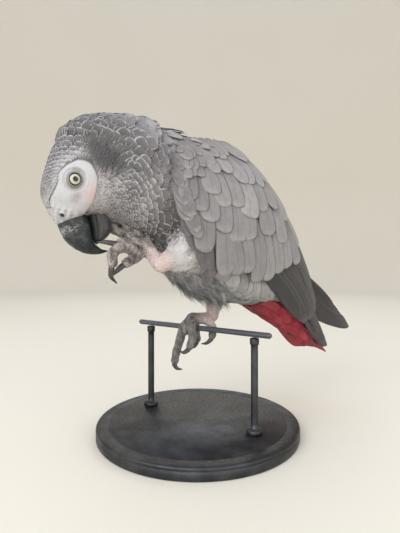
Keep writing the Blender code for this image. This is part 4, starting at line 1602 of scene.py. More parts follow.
@dataclass
class Down:
    """Loose filaments of down on the belly and the thighs: thin curved blades with three sides.

    Attributes:
        figure: what is known of the coat.
        surface: the skin.
        shields: the wings' plates, under which none is needed.
    """

    figure: Figure
    surface: Surface
    shields: list["WingSheet"]
    seed: int = 31
    blades: int = 14
    steps: int = 4
    radius: float = 0.13
    limit: int = 9000

    def spacing(self, points: Array) -> Array:
        """The distance between tufts in mm: closest on the raised thigh, which has down alone."""
        share, _, _ = self.figure.thigh(points)
        return 1.8 - 0.75 * share * ramp(points[:, 2], *RAISED_THIGH)

    def wanted(self, points: Array, normals: Array) -> Array:
        """Whether a tuft may stand at each place."""
        rng = np.random.default_rng(self.seed)
        open_place = self.figure.downy(points) > rng.uniform(0.1, 0.9, len(points))
        open_place &= self.figure.foot(points) < 0.4
        for shield in self.shields:
            open_place &= ~shield.covers(points)
        return open_place

    def build(self, finish: Material) -> None:
        """Grows the tufts.

        The blades of a tuft start a little apart and share its lie, its bend and its sag. A blade's line is
        root - spread * 0.85 t^1.5 + length * (way * t + side * bend * t^2 + out * lift * (t - 0.6 t^2)
        - up * sag * t^2), so that each tuft draws together into a lock. One tuft in four on the underside is
        loose: longer, and standing out.

        Args:
            finish: the material.
        """
        rng = np.random.default_rng(self.seed + 1)
        spots, ups = self.surface.scatter(self.spacing, self.wanted, self.seed)
        tufts = len(spots)
        count = tufts * self.blades
        lie = self.figure.flow(spots, ups)
        stray = rng.normal(0, 0.12, tufts) + 0.35 * ripple(spots, 7, 4)
        lie = unit(lie + np.cross(ups, lie) * stray[:, None])
        shared = [np.repeat(v, self.blades, 0) for v in (spots, ups, lie)]
        spread = rng.normal(0, 0.75, (count, 3))
        roots = shared[0] + spread
        out = shared[1]
        side = np.cross(out, shared[2])
        way = unit(shared[2] + side * rng.normal(0, 0.10, (count, 1)))
        thick_coat = self.figure.downy(roots)[:, None, None]
        length = np.repeat(rng.uniform(7.0, 12.5, (tufts, 1, 1)), self.blades, 0) * (0.55 + 0.45 * thick_coat)
        length = length * rng.uniform(0.7, 1.05, (count, 1, 1))
        share, _, run = self.figure.thigh(shared[0])
        length = length * (1 - share * np.interp(run, [0.4, 1.0], [0.1, 0.6]))[:, None, None]
        hanging = ramp(shared[0][:, 2], 130, 114) * (1 - share)
        loose = (np.repeat(rng.random(tufts) < 0.25, self.blades) * hanging)[:, None, None]
        length = length * (1 + 0.45 * loose)
        t = np.linspace(0, 1, self.steps)[None, :, None]
        lift, bend, sag = (
            np.repeat(rng.normal(mean, spread_by, (tufts, 1, 1)), self.blades, 0)
            + rng.normal(0, 0.06, (count, 1, 1))
            for mean, spread_by in ((0.26, 0.08), (0.0, 0.26), (0.16, 0.08))
        )
        lift = lift + 0.45 * loose
        fall = np.array([0, 0, -1.0])
        line = way[:, None] * t + side[:, None] * bend * t**2 + out[:, None] * (lift * t - 0.6 * lift * t**2)
        line = roots[:, None] - spread[:, None] * 0.85 * t**1.5 + (line + fall * sag * t**2) * length
        forward = unit(np.gradient(line, axis=1))
        across = unit(np.cross(forward, out[:, None]))
        rise = np.cross(across, forward)
        thick = self.radius * (1 - 0.8 * t[..., None] ** 1.5)
        angle = np.array([0.5, 2.6, 4.7])
        ring = across[:, :, None] * np.cos(angle)[:, None] + rise[:, :, None] * np.sin(angle)[:, None]
        points = line[:, :, None] + ring * thick
        tone = self.tones(spots, ups, rng)
        tone = np.repeat(tone, self.blades, 0) * rng.uniform(0.85, 1.1, (count, 1))
        flat = self.figure.unwrap(roots)
        for number, share in enumerate(np.array_split(np.arange(count), math.ceil(count / self.limit)), 1):
            shell = self.blade_shell(points[share])
            carried(shell, len(share), flat[share], 0.003, tone[share], np.zeros(len(share)))
            publish(make_object(f"down_{number}", shell, finish), "plumage_grey")

    def blade_shell(self, points: Array) -> Shell:
        """Joins the rings of many blades into closed blades.

        Args:
            points: as (blade, ring, 3, 3).

        Returns:
            The blades.
        """
        count = len(points)
        ends = np.array([[2, 1, 0], [0, 1, 2]]) + np.array([[0], [(self.steps - 1) * 3]])
        shell = repeated(points.reshape(count, -1, 3), [quads_between(self.steps, 3, True), ends])
        along = np.linspace(0, 0.4, self.steps)[:, None]
        place = np.stack(np.broadcast_arrays(np.array([0.2, 0.25, 0.3]), along), -1)
        shell.uvs["Vane"] = np.tile(place.reshape(-1, 2), (count, 1))
        return shell

    def tones(self, spots: Array, ups: Array, rng: np.random.Generator) -> Array:
        """Tuft colours: slate to white in locks, whitest on the raised thigh, with painted shade below the
        throat.
        """
        # Painted shade: tufts in the hollow below the throat are darker and less white.
        crop = np.clip(1.3 * self.figure.crop(spots), 0, 1)
        base = coated(
            self.figure.plumage(spots, ups),
            ("#556163", 0.25 + 0.7 * rng.random(len(spots))),
            ("#55504d", 0.7 * crop),
        )
        white = np.clip(0.32 + 0.7 * ripple(spots, 9, 8) + rng.normal(0, 0.2, len(spots)), 0, 1) * (1 - crop)
        share, _, run = self.figure.thigh(spots)
        raised = share * ramp(spots[:, 2], *RAISED_THIGH)
        fluff = coated(linear("#fbf6f2"), ("#e3c9c2", ramp(run, 0.5, 0.9)))
        return mixed(base, fluff, np.maximum(white * 0.55, raised))


# ---- wings


@dataclass
class WingSheet:
    """The middle sheet of one layer of a folded wing.

    A row of the sheet runs from an upper edge point to a lower one and is bowed out half way by the bulge:
    S(t, v) = upper + (lower - upper) v + out * bulge * 4 v (1 - v), with the edges read by t along curves.

    Attributes:
        stations: (upper x, y, z, lower x, y, z, bulge) rows from front to back, written for the left side.
        side: 1 for the left wing, -1 for the right.
        middle_x: the parrot's middle plane.
        grid: how many points the searched sheet has along it and down it.
    """

    stations: tuple
    side: int
    middle_x: float
    grid: tuple = (40, 16)
    rows: Array = field(init=False)
    tree: BVHTree = field(init=False)

    def __post_init__(self) -> None:
        """Adds a station beyond each end in line with the last two, and builds the sheet's search tree."""
        given = np.array(self.stations, float)
        self.rows = np.vstack([2 * given[0] - given[1], given, 2 * given[-1] - given[-2]])
        t, v = np.meshgrid(*(np.linspace(0, 1, number) for number in self.grid), indexing="ij")
        points, _ = self.place(t, v, 0.0)
        quads = quads_between(*self.grid, False)
        self.tree = BVHTree.FromPolygons(points.reshape(-1, 3).tolist(), quads.tolist())

    def raw(self, t: Array, v: Array) -> Array:
        """Points of the sheet by t along it and v down it, on the left side's numbers."""
        last = len(self.stations) - 1
        at = np.clip(1 + t * last, 0.002, last + 1.998)
        rows, ahead, behind = (curve_at(self.rows, at + step) for step in (0.0, 0.001, -0.001))
        upper, lower = rows[..., :3], rows[..., 3:6]
        run = (ahead - behind)[..., :3] + (ahead - behind)[..., 3:6]
        out = unit(np.cross(lower - upper, run))
        out = out * np.sign(out[..., :1])
        v = v[..., None]
        return upper + (lower - upper) * v + out * rows[..., 6:7] * 4 * v * (1 - v)

    def place(self, t: Array, v: Array, lift: Array) -> tuple[Array, Array]:
        """Points lifted off the sheet, with its outward normals.

        Args:
            t: how far back along the sheet.
            v: how far down it.
            lift: the height above it in mm.

        Returns:
            The points and the normals, on this wing's own side.
        """
        t, v = np.asarray(t, float), np.asarray(v, float)
        spot = self.raw(t, v)
        step = 0.004
        along = self.raw(t + step, v) - self.raw(t - step, v)
        down = self.raw(t, v + step) - self.raw(t, v - step)
        normal = unit(np.cross(down, along))
        normal = normal * np.where(normal[..., :1] < 0, -1, 1)
        spot = spot + normal * np.asarray(lift)[..., None]
        mirror = np.array([self.side, 1, 1])
        spot = (spot - [self.middle_x, 0, 0]) * mirror + [self.middle_x, 0, 0]
        return spot, normal * mirror

    def covers(self, points: Array) -> Array:
        """Whether each point lies close under the sheet, away from its rim."""
        hits = [self.tree.find_nearest(p, 13.0) for p in points.tolist()]
        inside = np.zeros(len(points), bool)
        long, deep = self.grid[0] - 1, self.grid[1] - 1
        for index, (_, _, face, _) in enumerate(hits):
            if face is not None:
                t, v = (face // deep + 0.5) / long, (face % deep + 0.5) / deep
                inside[index] = 0.06 < t < 0.93 and 0.07 < v < 0.93
        return inside


NEAR_WING = (
    (42, -51, 203, 50, -56, 168, 3),
    (38, -40, 211, 55, -49, 156, 6),
    (30, -24, 216, 57, -37, 143, 10),
    (28, -4, 217.5, 55, -17, 124.5, 14),
    (28, 19, 214.5, 52, 6, 116.5, 16),
    (27, 42, 203, 46, 30, 110, 15.5),
    (27, 64, 183.5, 41, 53, 103, 12.5),
    (27, 83, 158.5, 36, 76, 92, 9),
    (27, 98, 135, 32, 94, 82, 6),
    (26, 110, 115, 29, 108, 78, 4),
)
NEAR_QUILLS = (
    (20, 62, 168, 35, 54, 106, 8),
    (19, 80, 146, 31, 72, 94, 6),
    (19, 96, 124, 28, 91, 81, 5),
    (20, 109, 104, 26, 107, 69, 3),
    (22, 121, 84, 26, 119, 59, 2),
    (26, 131, 66, 28, 129, 52, 1),
)
FAR_WING = (
    (46, -36, 197, 49, -36, 172, 3),
    (40, -27, 206, 51, -30, 152, 5),
    (31, -13, 212, 50, -18, 137, 8),
    (27, 6, 214.5, 49, 0, 124, 11),
    (26, 28, 209, 46, 22, 118, 12),
    (25, 50, 196, 42, 46, 111, 11),
    (24, 74, 177, 38, 70, 104, 9),
    (23, 97, 154, 34, 94, 97, 7),
    (22, 116, 134, 30, 114, 92, 5),
    (21, 128, 120, 27, 126, 91, 3),
)
FAR_QUILLS = (
    (18, 90, 150, 31, 84, 100, 7),
    (16, 112, 131, 27, 108, 91, 5),
    (13, 134, 114, 23, 132, 83, 4),
    (10, 154, 99, 18, 156, 76, 3),
    (6, 172, 84, 10, 178, 70, 1),
    (4, 190, 72, 6, 190, 64, 1),
)


@dataclass(frozen=True)
class WingRow:
    """One row of wing feathers that overlap like shingles.

    Attributes:
        name: the row's name.
        roots: the line of the roots on the sheet, as (t, v) points.
        tips: the line of the tips.
        count: how many feathers.
        width: a feather's full width in mm.
        lift: its height above the sheet at the root and at the tip.
        roll: how far it leans over its neighbour, in mm.
        camber: how far it is arched, in mm.
        tip: its outline.
        tones: its colour at the row's two ends, as hex.
        rim: how pale its rim is.
        shaft: the share of its width in front of the shaft.
        fade: how slowly the first tone turns into the second, as a power.
    """

    name: str
    roots: tuple
    tips: tuple
    count: int
    width: float
    lift: tuple = (-1.2, 1.4)
    roll: float = 0.35
    camber: float = 0.8
    tip: Tip = Tip.SQUARED
    tones: tuple = ("#908b89", "#969190")
    rim: float = 0.3
    shaft: float = 0.5
    fade: float = 1.0


SECONDARY_ROWS = (
    WingRow(
        "secondaries",
        (
            (0.44, 0.84), (0.455, 0.78), (0.47, 0.72), (0.49, 0.65),
            (0.51, 0.57), (0.53, 0.47), (0.54, 0.36), (0.53, 0.22),
        ),
        (
            (0.86, 0.99), (0.93, 0.95), (0.98, 0.86), (1.01, 0.72),
            (1.01, 0.58), (0.99, 0.44), (0.95, 0.3), (0.88, 0.14),
        ),
        13, 15.0, (-2.4, -1.2), 0.45, 0.4, Tip.LANCE, ("#2c2827", "#57524f"), 0.22, 0.4, 1.5,
    ),
)
COVERT_ROWS = (
    WingRow(
        "greater_coverts",
        (
            (0.17, 0.62), (0.23, 0.62), (0.29, 0.60), (0.35, 0.58), (0.41, 0.55),
            (0.48, 0.52), (0.55, 0.45), (0.60, 0.33), (0.64, 0.16),
        ),
        (
            (0.235, 1.02), (0.32, 1.02), (0.39, 0.99), (0.455, 0.965), (0.515, 0.94),
            (0.575, 0.90), (0.635, 0.82), (0.68, 0.66), (0.72, 0.42),
        ),
        10, 16.0, (-1.3, -0.2), 0.45, 0.7, Tip.SQUARED, ("#837f7d", "#96918f"), 0.25, 0.45,
    ),
    WingRow(
        "median_coverts",
        (
            (0.09, 0.44), (0.13, 0.46), (0.18, 0.47), (0.24, 0.45), (0.30, 0.42),
            (0.37, 0.38), (0.44, 0.33), (0.51, 0.24), (0.57, 0.1),
        ),
        (
            (0.085, 0.80), (0.14, 0.87), (0.21, 0.90), (0.27, 0.85), (0.33, 0.80),
            (0.40, 0.745), (0.47, 0.69), (0.54, 0.61), (0.62, 0.42),
        ),
        9, 17.5, (-0.9, 0.2), 0.45, 0.7, Tip.SQUARED, ("#817d7c", "#938e8c"), 0.3, 0.47,
    ),
    WingRow(
        "lesser_coverts_low",
        (
            (0.06, 0.30), (0.10, 0.27), (0.15, 0.27), (0.21, 0.29), (0.27, 0.28),
            (0.34, 0.25), (0.41, 0.21), (0.48, 0.13), (0.54, 0.03),
        ),
        (
            (0.06, 0.58), (0.10, 0.61), (0.155, 0.57), (0.22, 0.63), (0.29, 0.62),
            (0.36, 0.58), (0.43, 0.55), (0.50, 0.48), (0.58, 0.32),
        ),
        10, 16.5, (-0.5, 0.6), 0.4, 0.6, Tip.SQUARED, ("#7d7a78", "#958f8c"), 0.34,
    ),
    WingRow(
        "lesser_coverts_high",
        (
            (0.05, 0.18), (0.08, 0.16), (0.12, 0.16), (0.17, 0.14), (0.23, 0.12),
            (0.29, 0.10), (0.35, 0.08), (0.42, 0.03), (0.47, -0.02),
        ),
        (
            (0.05, 0.42), (0.09, 0.46), (0.13, 0.44), (0.19, 0.41), (0.25, 0.37),
            (0.32, 0.35), (0.38, 0.36), (0.45, 0.33), (0.52, 0.20),
        ),
        11, 14.5, (-0.2, 0.9), 0.35, 0.5, Tip.ROUND, ("#827d7b", "#96908e"), 0.36,
    ),
    WingRow(
        "scapulars",
        (
            (0.02, 0.07), (0.05, 0.03), (0.09, 0.0), (0.14, -0.02),
            (0.19, -0.03), (0.25, -0.04), (0.31, -0.05), (0.37, -0.06),
        ),
        (
            (0.035, 0.27), (0.07, 0.30), (0.12, 0.28), (0.18, 0.27),
            (0.24, 0.23), (0.31, 0.20), (0.38, 0.15), (0.45, 0.08),
        ),
        12, 13.0, (0.1, 1.2), 0.35, 0.5, Tip.ROUND, ("#7e7a77", "#8f8885"), 0.4,
    ),
    WingRow(
        "marginal_coverts",
        (
            (-0.03, 0.12), (-0.03, 0.27), (-0.03, 0.42), (-0.03, 0.57),
            (-0.02, 0.72), (0.01, 0.86), (0.06, 0.93),
        ),
        ((0.04, 0.22), (0.05, 0.40), (0.06, 0.56), (0.06, 0.72), (0.08, 0.86), (0.13, 0.97), (0.20, 1.02)),
        12, 10.0, (-0.6, 0.8), 0.3, 0.4, Tip.ROUND, ("#716c6a", "#787372"), 0.4,
    ),
)
# Darker feathers that show as a narrow border below the wing's front edge and above its back edge.
# Their dark tones are partly the feathers' own and partly painted shade: under the wing's front edge,
# and in the gap between the two wings.
BORDER_ROWS = (
    WingRow(
        "underwing_border",
        ((0.05, 0.80), (0.09, 0.84), (0.13, 0.86), (0.17, 0.88), (0.21, 0.90)),
        ((0.13, 1.06), (0.17, 1.09), (0.21, 1.10), (0.25, 1.08), (0.29, 1.05)),
        14, 9.0, (-2.6, -2.2), 0.3, 0.4, Tip.ROUND, ("#6a6563", "#625d5b"), 0.2,
    ),
    WingRow(
        "tertial_border",
        ((0.26, 0.0), (0.33, -0.01), (0.40, -0.01), (0.47, -0.02), (0.54, -0.01), (0.61, 0.0), (0.68, 0.02)),
        (
            (0.40, -0.09), (0.47, -0.11), (0.54, -0.12), (0.61, -0.13),
            (0.68, -0.13), (0.75, -0.13), (0.82, -0.12),
        ),
        9, 7.0, (-1.4, -0.6), 0.2, 0.3, Tip.LANCE, ("#37322f", "#2f2b29"), 0.05,
    ),
)
QUILL_ROWS = (
    WingRow(
        "primaries",
        ((0.0, 0.10), (0.08, 0.40), (0.20, 0.66)),
        ((0.74, 0.10), (0.88, 0.46), (1.0, 0.80)),
        8, 13.0, (-0.5, 0.4), 0.5, 0.35, Tip.LANCE, ("#4a4645", "#423d3c"), 0.16, 0.35,
    ),
)
FLANK = (
    (46, -16, 130, 31, -6, 117, 3),
    (46, 0, 128, 28, 10, 107, 5),
    (45, 18, 124, 27, 26, 103.5, 6),
    (42, 36, 118, 26, 46, 101.5, 5),
    (36, 54, 112, 24, 62, 101, 3),
    (30, 68, 107, 21, 74, 99, 2),
)
FLANK_ROWS = (
    WingRow(
        "flank_low",
        ((0.02, 0.05), (0.3, 0.05), (0.6, 0.05), (0.86, 0.1)),
        ((0.06, 0.98), (0.38, 1.0), (0.72, 1.0), (1.06, 0.98)),
        11, 11.0, (-1.5, 0.5), 0.6, 0.8, Tip.ROUND, ("#b6b2af", "#9b9794"), 0.3,
    ),
    WingRow(
        "flank_high",
        ((0.0, -0.25), (0.3, -0.25), (0.6, -0.2), (0.84, -0.2)),
        ((0.05, 0.6), (0.36, 0.66), (0.70, 0.66), (1.0, 0.62)),
        11, 11.0, (-0.5, 1.0), 0.6, 0.8, Tip.ROUND, ("#a8a4a1", "#989491"), 0.3,
    ),
)


@dataclass
class Wing:
    """One folded wing: its coverts and secondaries on one sheet and its long primaries on another.

    Attributes:
        word: left or right.
        coverts: the sheet of the coverts and secondaries.
        quills: the sheet of the primaries.
        seed: starts the random numbers.
    """

    word: str
    coverts: WingSheet
    quills: WingSheet
    seed: int
    thickness: float = 0.26

    def row(self, sheet: WingSheet, plan: WingRow) -> Shell:
        """Grows one row of feathers on a sheet.

        Args:
            sheet: the sheet.
            plan: the row's sizes.

        Returns:
            The feathers as one shell.
        """
        rng = np.random.default_rng(self.seed + len(plan.name))
        run = RUNS[12]
        share = np.linspace(0, 1, plan.count)
        root = curve_at(plan.roots, share * (len(plan.roots) - 1))
        stray = rng.normal(0, 1, (plan.count, 2)) * (0.013, 0.032)
        tip = curve_at(plan.tips, share * (len(plan.tips) - 1)) + stray
        place = root[:, None] + (tip - root)[:, None] * run[None, :, None]
        root = root + stray * 0.5
        bow = rng.normal(0, 0.006, (plan.count, 1)) * np.sin(run * math.pi)
        low, high = plan.lift
        rise = rng.uniform(-0.2, 0.25, (plan.count, 1)) + 0.9 * rng.random((plan.count, 1)) ** 6
        lift = low + (high - low) * run**0.8 + rise * run**3
        centre, normal = sheet.place(place[..., 0] + bow, place[..., 1], lift)
        span = np.linalg.norm(centre[:, -1] - centre[:, 0], axis=1)[:, None]
        broad = np.minimum(plan.width * rng.uniform(0.86, 1.14, (plan.count, 1)), 0.62 * span)
        half = broad * plan.tip.width(run)
        front, back = half * plan.shaft, half * (1 - plan.shaft)
        if sheet.side < 0:
            front, back = back, front
        camber = np.full(plan.count, plan.camber) * rng.uniform(0.8, 1.2, plan.count)
        roll = -sheet.side * plan.roll * rng.uniform(0.6, 1.4, plan.count)
        fray = frayed(rng, plan.count, 0.026) * broad[..., None]
        shell = vanes(centre, normal, front, back, camber, roll, self.thickness, fray=fray)
        tone = coated(linear(plan.tones[0]), (plan.tones[1], share**plan.fade))
        tone = tone * rng.normal(1, 0.07, plan.count)[:, None]
        shade = np.interp(run, [0, 0.3, 0.5, 0.8, 1.0], [0.6, 0.8, 0.97, 1.0, 0.97])
        roots = 0.1 + 0.8 * np.clip(root, 0, 1)
        rim = np.full(plan.count, plan.rim)
        return carried(shell, plan.count, roots, 0.02, tone[:, None] * shade[None, :, None], rim)

    def build(self, grey: Material, dark: Material) -> None:
        """Builds the wing's pieces, one for each row.

        Args:
            grey: the coverts' material.
            dark: the flight feathers' material.
        """
        flank = WingSheet(FLANK, self.coverts.side, self.coverts.middle_x)
        for sheet, rows, finish, slot, solids in (
            (self.coverts, SECONDARY_ROWS, dark, "flight_grey", (f"wing_{self.word}",)),
            (self.coverts, COVERT_ROWS, grey, "wing_grey", ()),
            (flank, FLANK_ROWS, grey, "plumage_grey", ()),
            (self.coverts, BORDER_ROWS, dark, "wing_grey", ()),
            (self.quills, QUILL_ROWS, dark, "flight_grey", (f"primaries_{self.word}",)),
        ):
            for plan in rows:
                piece = make_object(f"{plan.name}_{self.word}", self.row(sheet, plan), finish)
                publish(piece, slot, *solids)


@dataclass
class Tail:
    """The red tail: twelve feathers in a slightly roofed fan, with short red coverts under their roots.

    Attributes:
        middle_x: the parrot's middle plane.
        feathers: how many there are.
        seed: starts the random numbers.
    """

    middle_x: float
    feathers: int = 12
    seed: int = 71
    half_width: float = 6.6
    length: float = 60.5

    def place(self, across: Array, run: Array, lift: Array) -> tuple[Array, Array]:
        """Points of the fan, which widens by 9 sin(0.6 pi run) and falls from z 101 by 52 run + 3 across^2.

        Args:
            across: from -1 on the right to 1 on the left.
            run: from 0 at the root to 1 at the tip.
            lift: the height above the sheet.

        Returns:
            The points and the upward normals.
        """
        across, run = np.broadcast_arrays(across, run)
        half = 12.5 + 9 * np.sin(run * math.pi * 0.6) - self.half_width * 0.8
        x = self.middle_x + half * across
        y = 74 + self.length * run
        z = 101 - 52 * run - 3 * across**2
        slope = np.full_like(x, 52 / self.length)
        normal = unit(np.stack([6 * across / np.maximum(half, 1), slope, np.ones_like(x)], -1))
        return np.stack([x, y, z], -1) + normal * np.asarray(lift)[..., None], normal

    def fan(self) -> Shell:
        """The tail feathers, the outermost first and lowest."""
        count = self.feathers
        rng = np.random.default_rng(self.seed)
        run = RUNS[12]
        across = (np.arange(count) * 2 + 1) / count - 1
        across = across[np.argsort(-np.abs(across), kind="stable")]
        ends = 0.985 - 0.05 * across**2 + rng.normal(0, 0.006, count)
        lift = 0.6 - 1.6 * np.abs(across)[:, None]
        centre, normal = self.place(across[:, None], ends[:, None] * run, lift)
        width = self.half_width * Tip.SQUARED.width(run)[None] * rng.uniform(0.95, 1.05, (count, 1))
        roll = -0.5 * np.sign(across)
        fray = frayed(rng, count, 0.3)
        shell = vanes(centre, normal, width, width, np.full(count, 0.5), roll, 0.35, fray=fray)
        tone = coated(linear("#852531"), ("#b23f4b", rng.random(count)))
        shade = np.interp(run, [0, 0.5, 1.0], [0.85, 1.0, 1.0]) * (1 + 0.16 * ripple(centre, 12, self.seed))
        roots = np.column_stack([0.5 + 0.4 * across, np.full(count, 0.2)])
        return carried(shell, count, roots, 0.02, tone[:, None] * shade[..., None], np.full(count, 0.12))

    def below(self, across: Array, run: Array, lift: Array) -> tuple[Array, Array]:
        """Points of the trough of feathers under the tail's root, with the downward normals.

        It runs from y 46 to y 112 and its middle sinks from z 94.5 by 34.5 run. Its half width is 20 - 7 run,
        and its rims stand (6 + 44 run (1 - run)) across^2 higher, so that they meet the body's underside.

        Args:
            across: from -1 on the right to 1 on the left.
            run: from 0 at the vent to 1 half way down the tail.
            lift: the height off the trough.

        Returns:
            The points and the normals.
        """
        across, run = np.broadcast_arrays(across, run)
        half, rise = 20 - 7 * run, 6 + 44 * run * (1 - run)
        x = self.middle_x + half * across
        y = 46 + 66 * run
        z = 94.5 - 34.5 * run + rise * across**2
        slope = (44 * (1 - 2 * run) * across**2 - 34.5) / 66
        normal = unit(np.stack([2 * rise * across / half, slope, -np.ones_like(x)], -1))
        return np.stack([x, y, z], -1) + normal * np.asarray(lift)[..., None], normal

    def under_coverts(self, count: int) -> Shell:
        """The soft red feathers under the tail, in overlapping rows.

        Args:
            count: how many there are.

        Returns:
            The feathers.
        """
        rng = np.random.default_rng(self.seed + 9)
        run = RUNS[12]
        row = np.arange(count) // 10
        start = 0.60 - row * 0.66 / max(row.max(), 1) + rng.normal(0, 0.02, count)
        across = ((np.arange(count) % 10) * 2 + 1 + (row % 2) * 0.7) / 10.4 - 1
        along = start[:, None] + 0.40 * run
        lift = -0.5 + 1.8 * run**1.2 + rng.uniform(-0.4, 0.6, (count, 1)) * run
        centre, normal = self.below(across[:, None] * (1 - 0.12 * run), along, lift)
        width = 4.8 * Tip.ROUND.width(run)[None] * rng.uniform(0.9, 1.1, (count, 1))
        fray = frayed(rng, count, 0.5)
        roll = rng.normal(0, 0.3, count)
        shell = vanes(centre, normal, width, width, np.full(count, 0.6), roll, 0.3, fray=fray)
        tone = coated(linear("#98252f"), ("#b64350", rng.random(count)))
        shade = np.interp(run, [0, 0.4, 1.0], [0.6, 0.9, 1.0]) * (1 + 0.2 * ripple(centre, 10, 5))
        roots = np.column_stack([0.5 + 0.4 * across, 0.1 + 0.3 * start])
        return carried(shell, count, roots, 0.02, tone[:, None] * shade[..., None], np.full(count, 0.1))

    def build(self, finish: Material) -> None:
        """Builds the tail feathers and the short coverts under their roots."""
        publish(make_object("tail_feathers", self.fan(), finish), "tail_red", "tail")
        publish(make_object("tail_coverts_under", self.under_coverts(60), finish), "tail_red")


# ---- bill, eyes, claws and scales

# Stations of the bill's two halves, in the order of the head's.
UPPER_BILL = (
    (18, 4, 9, -12, 7.8),
    (24.7, -0.2, 14.4, -15.1, 9),
    (28.6, -2.9, 18.4, -17.8, 8.8),
    (32.1, -6.2, 22, -20, 8.2),
    (34.8, -10.6, 25.2, -21.6, 7.3),
    (36.4, -15.6, 27.6, -22.9, 6.2),
    (37, -21, 29.4, -24.6, 4.9),
    (36.1, -26, 30.6, -27.2, 3.5),
    (34.4, -30.1, 31.4, -29.8, 2.1),
    (31.7, -33.9, 31.1, -33.5, 0.5),
)
LOWER_BILL = (
    (7, -14, 6, -25, 7.4),
    (13.4, -16.6, 11.5, -28.6, 8.2),
    (18.4, -19.8, 16, -31.3, 7.8),
    (22.5, -22, 20.2, -31.9, 6.8),
    (26, -23.7, 24.4, -30.2, 5),
    (28.2, -25.1, 27.4, -27.6, 2.4),
)

# Stations of the dark mouth between the two halves.
MOUTH = (
    (8, -12, 6, -20, 6.4),
    (13.5, -14.4, 11.5, -20, 6.8),
    (18.5, -17.6, 16, -23, 6.4),
    (22.5, -20, 20.2, -25, 5.4),
    (26, -22, 24, -26, 4.2),
    (28.6, -24.2, 27, -26.4, 2.6),
    (29.6, -25.6, 29, -26.6, 0.8),
)


@dataclass
class Bill:
    """The hooked upper half and the scoop of the lower half, as horn that grows in layers.

    Attributes:
        head: the head's directions.
    """

    head: HeadFrame
    rings: int = 110
    sides: int = 72

    def half(self, stations: tuple, narrowing: float, seed: int) -> Shell:
        """One half of the bill with growth ridges across it and dents along it.

        Args:
            stations: the half's stations.
            narrowing: the share by which its top is narrower.
            seed: picks the ridges.

        Returns:
            The shell, with the value "Flake".
        """
        rings = self.head.rings(stations, self.rings, self.sides, narrowing)
        run = np.linspace(0, 1, self.rings)[:, None]
        turn = turns(self.sides)[None]
        middle = rings.mean(1, keepdims=True)
        out = unit(rings - middle)
        ridges = 0.045 * np.sin(run * 61 + 0.7 * np.sin(turn * 2 + seed))
        ridges = ridges * ramp(run, 0.12, 0.3) * (1 - ramp(run, 0.8, 0.97))
        dents = 0.10 * ripple(rings.reshape(-1, 3), 5.0, seed).reshape(self.rings, self.sides)
        rings = rings + out * (ridges + dents * (1 - run**2))[..., None]
        shell = closed_rings(rings)
        top = (1 + np.sin(turn)) / 2
        flake = bump(run, 0.24, 0.13) * (0.45 + 0.4 * top)
        flake = flake + 0.55 * bump(run, 0.80, 0.018) + 0.12 * bump(run, 0.5, 0.2)
        shell.marks["Flake"] = np.append(flake.ravel(), [0.0, 0.0])
        return shell

    def build(self) -> None:
        """Builds both halves and the dark lining that closes the mouth between them."""
        black = BillHorn("bill_horn_upper", 0.62).make()
        upper = make_object("upper_bill", self.half(UPPER_BILL, 0.16, 3), black)
        paler = BillHorn("bill_horn_lower", 0.34, ("#333132", "#4a4646")).make()
        lower = make_object("lower_bill", self.half(LOWER_BILL, -0.1, 8), paler)
        lining = self.half(MOUTH, 0.0, 5)
        lining.marks["Flake"] = np.zeros(len(lining.points))
        publish(make_object("mouth_lining", lining, BillHorn("mouth_lining_horn", 0.0).make()), "bill_horn")
        publish(upper, "bill_horn", "bill_upper")
        publish(lower, "bill_horn", "bill_lower")


@dataclass
class Eyes:
    """Both eyeballs, each turned about the line out of the head, with a slightly raised cornea.

    Attributes:
        head: the head's directions.
    """

    head: HeadFrame
    cornea: float = 0.35
    rings: int = 72
    sides: int = 64

    def ball(self, side: int) -> Shell:
        """One eyeball.

        The ring at angle a from the outward axis lies radius + cornea * exp(-(a / 0.36)^2) from the centre.

        Args:
            side: 1 for the left eye, -1 for the right.

        Returns:
            The shell, with the value "Reach": the distance from the pupil's middle in mm.
        """
        angle = np.linspace(0.012, math.pi - 0.05, self.rings)[:, None]
        turn = turns(self.sides)[None]
        size = self.head.eye_radius - 0.03 + self.cornea * bump(angle, 0, 0.36)
        flat = size * np.sin(angle)
        rings = self.head.place(
            flat * np.cos(turn), flat * np.sin(turn), side * (self.head.half_span + size * np.cos(angle))
        )
        shell = closed_rings(rings)
        reach = np.broadcast_to(np.where(angle < math.pi / 2, flat, 9.0), (self.rings, self.sides))
        shell.marks["Reach"] = np.append(reach.ravel(), [0.0, 9.0])
        return shell

    def build(self) -> None:
        """Builds both eyes with one material."""
        finish = EyeGlass().make()
        for side, word in ((1, "left"), (-1, "right")):
            publish(make_object(f"eyeball_{word}", self.ball(side), finish), "eye", f"eye_{word}")


@dataclass
class Claws:
    """The curved claws of both feet."""

    legs: tuple = (RAISED_LEG, STANDING_LEG)

    def build(self) -> None:
        """Builds one tapered, curved tube for each claw."""
        finish = ClawHorn().make()
        for leg in self.legs:
            for number, line in enumerate(leg.claws, 1):
                radii = leg.claw_radius * np.array([1.0, 0.72, 0.22])
                piece = make_object(f"talon_{leg.word}_{number}", tube(line, radii, 34, 20), finish)
                publish(piece, "claw_horn", f"claw_{leg.word}_{number}")


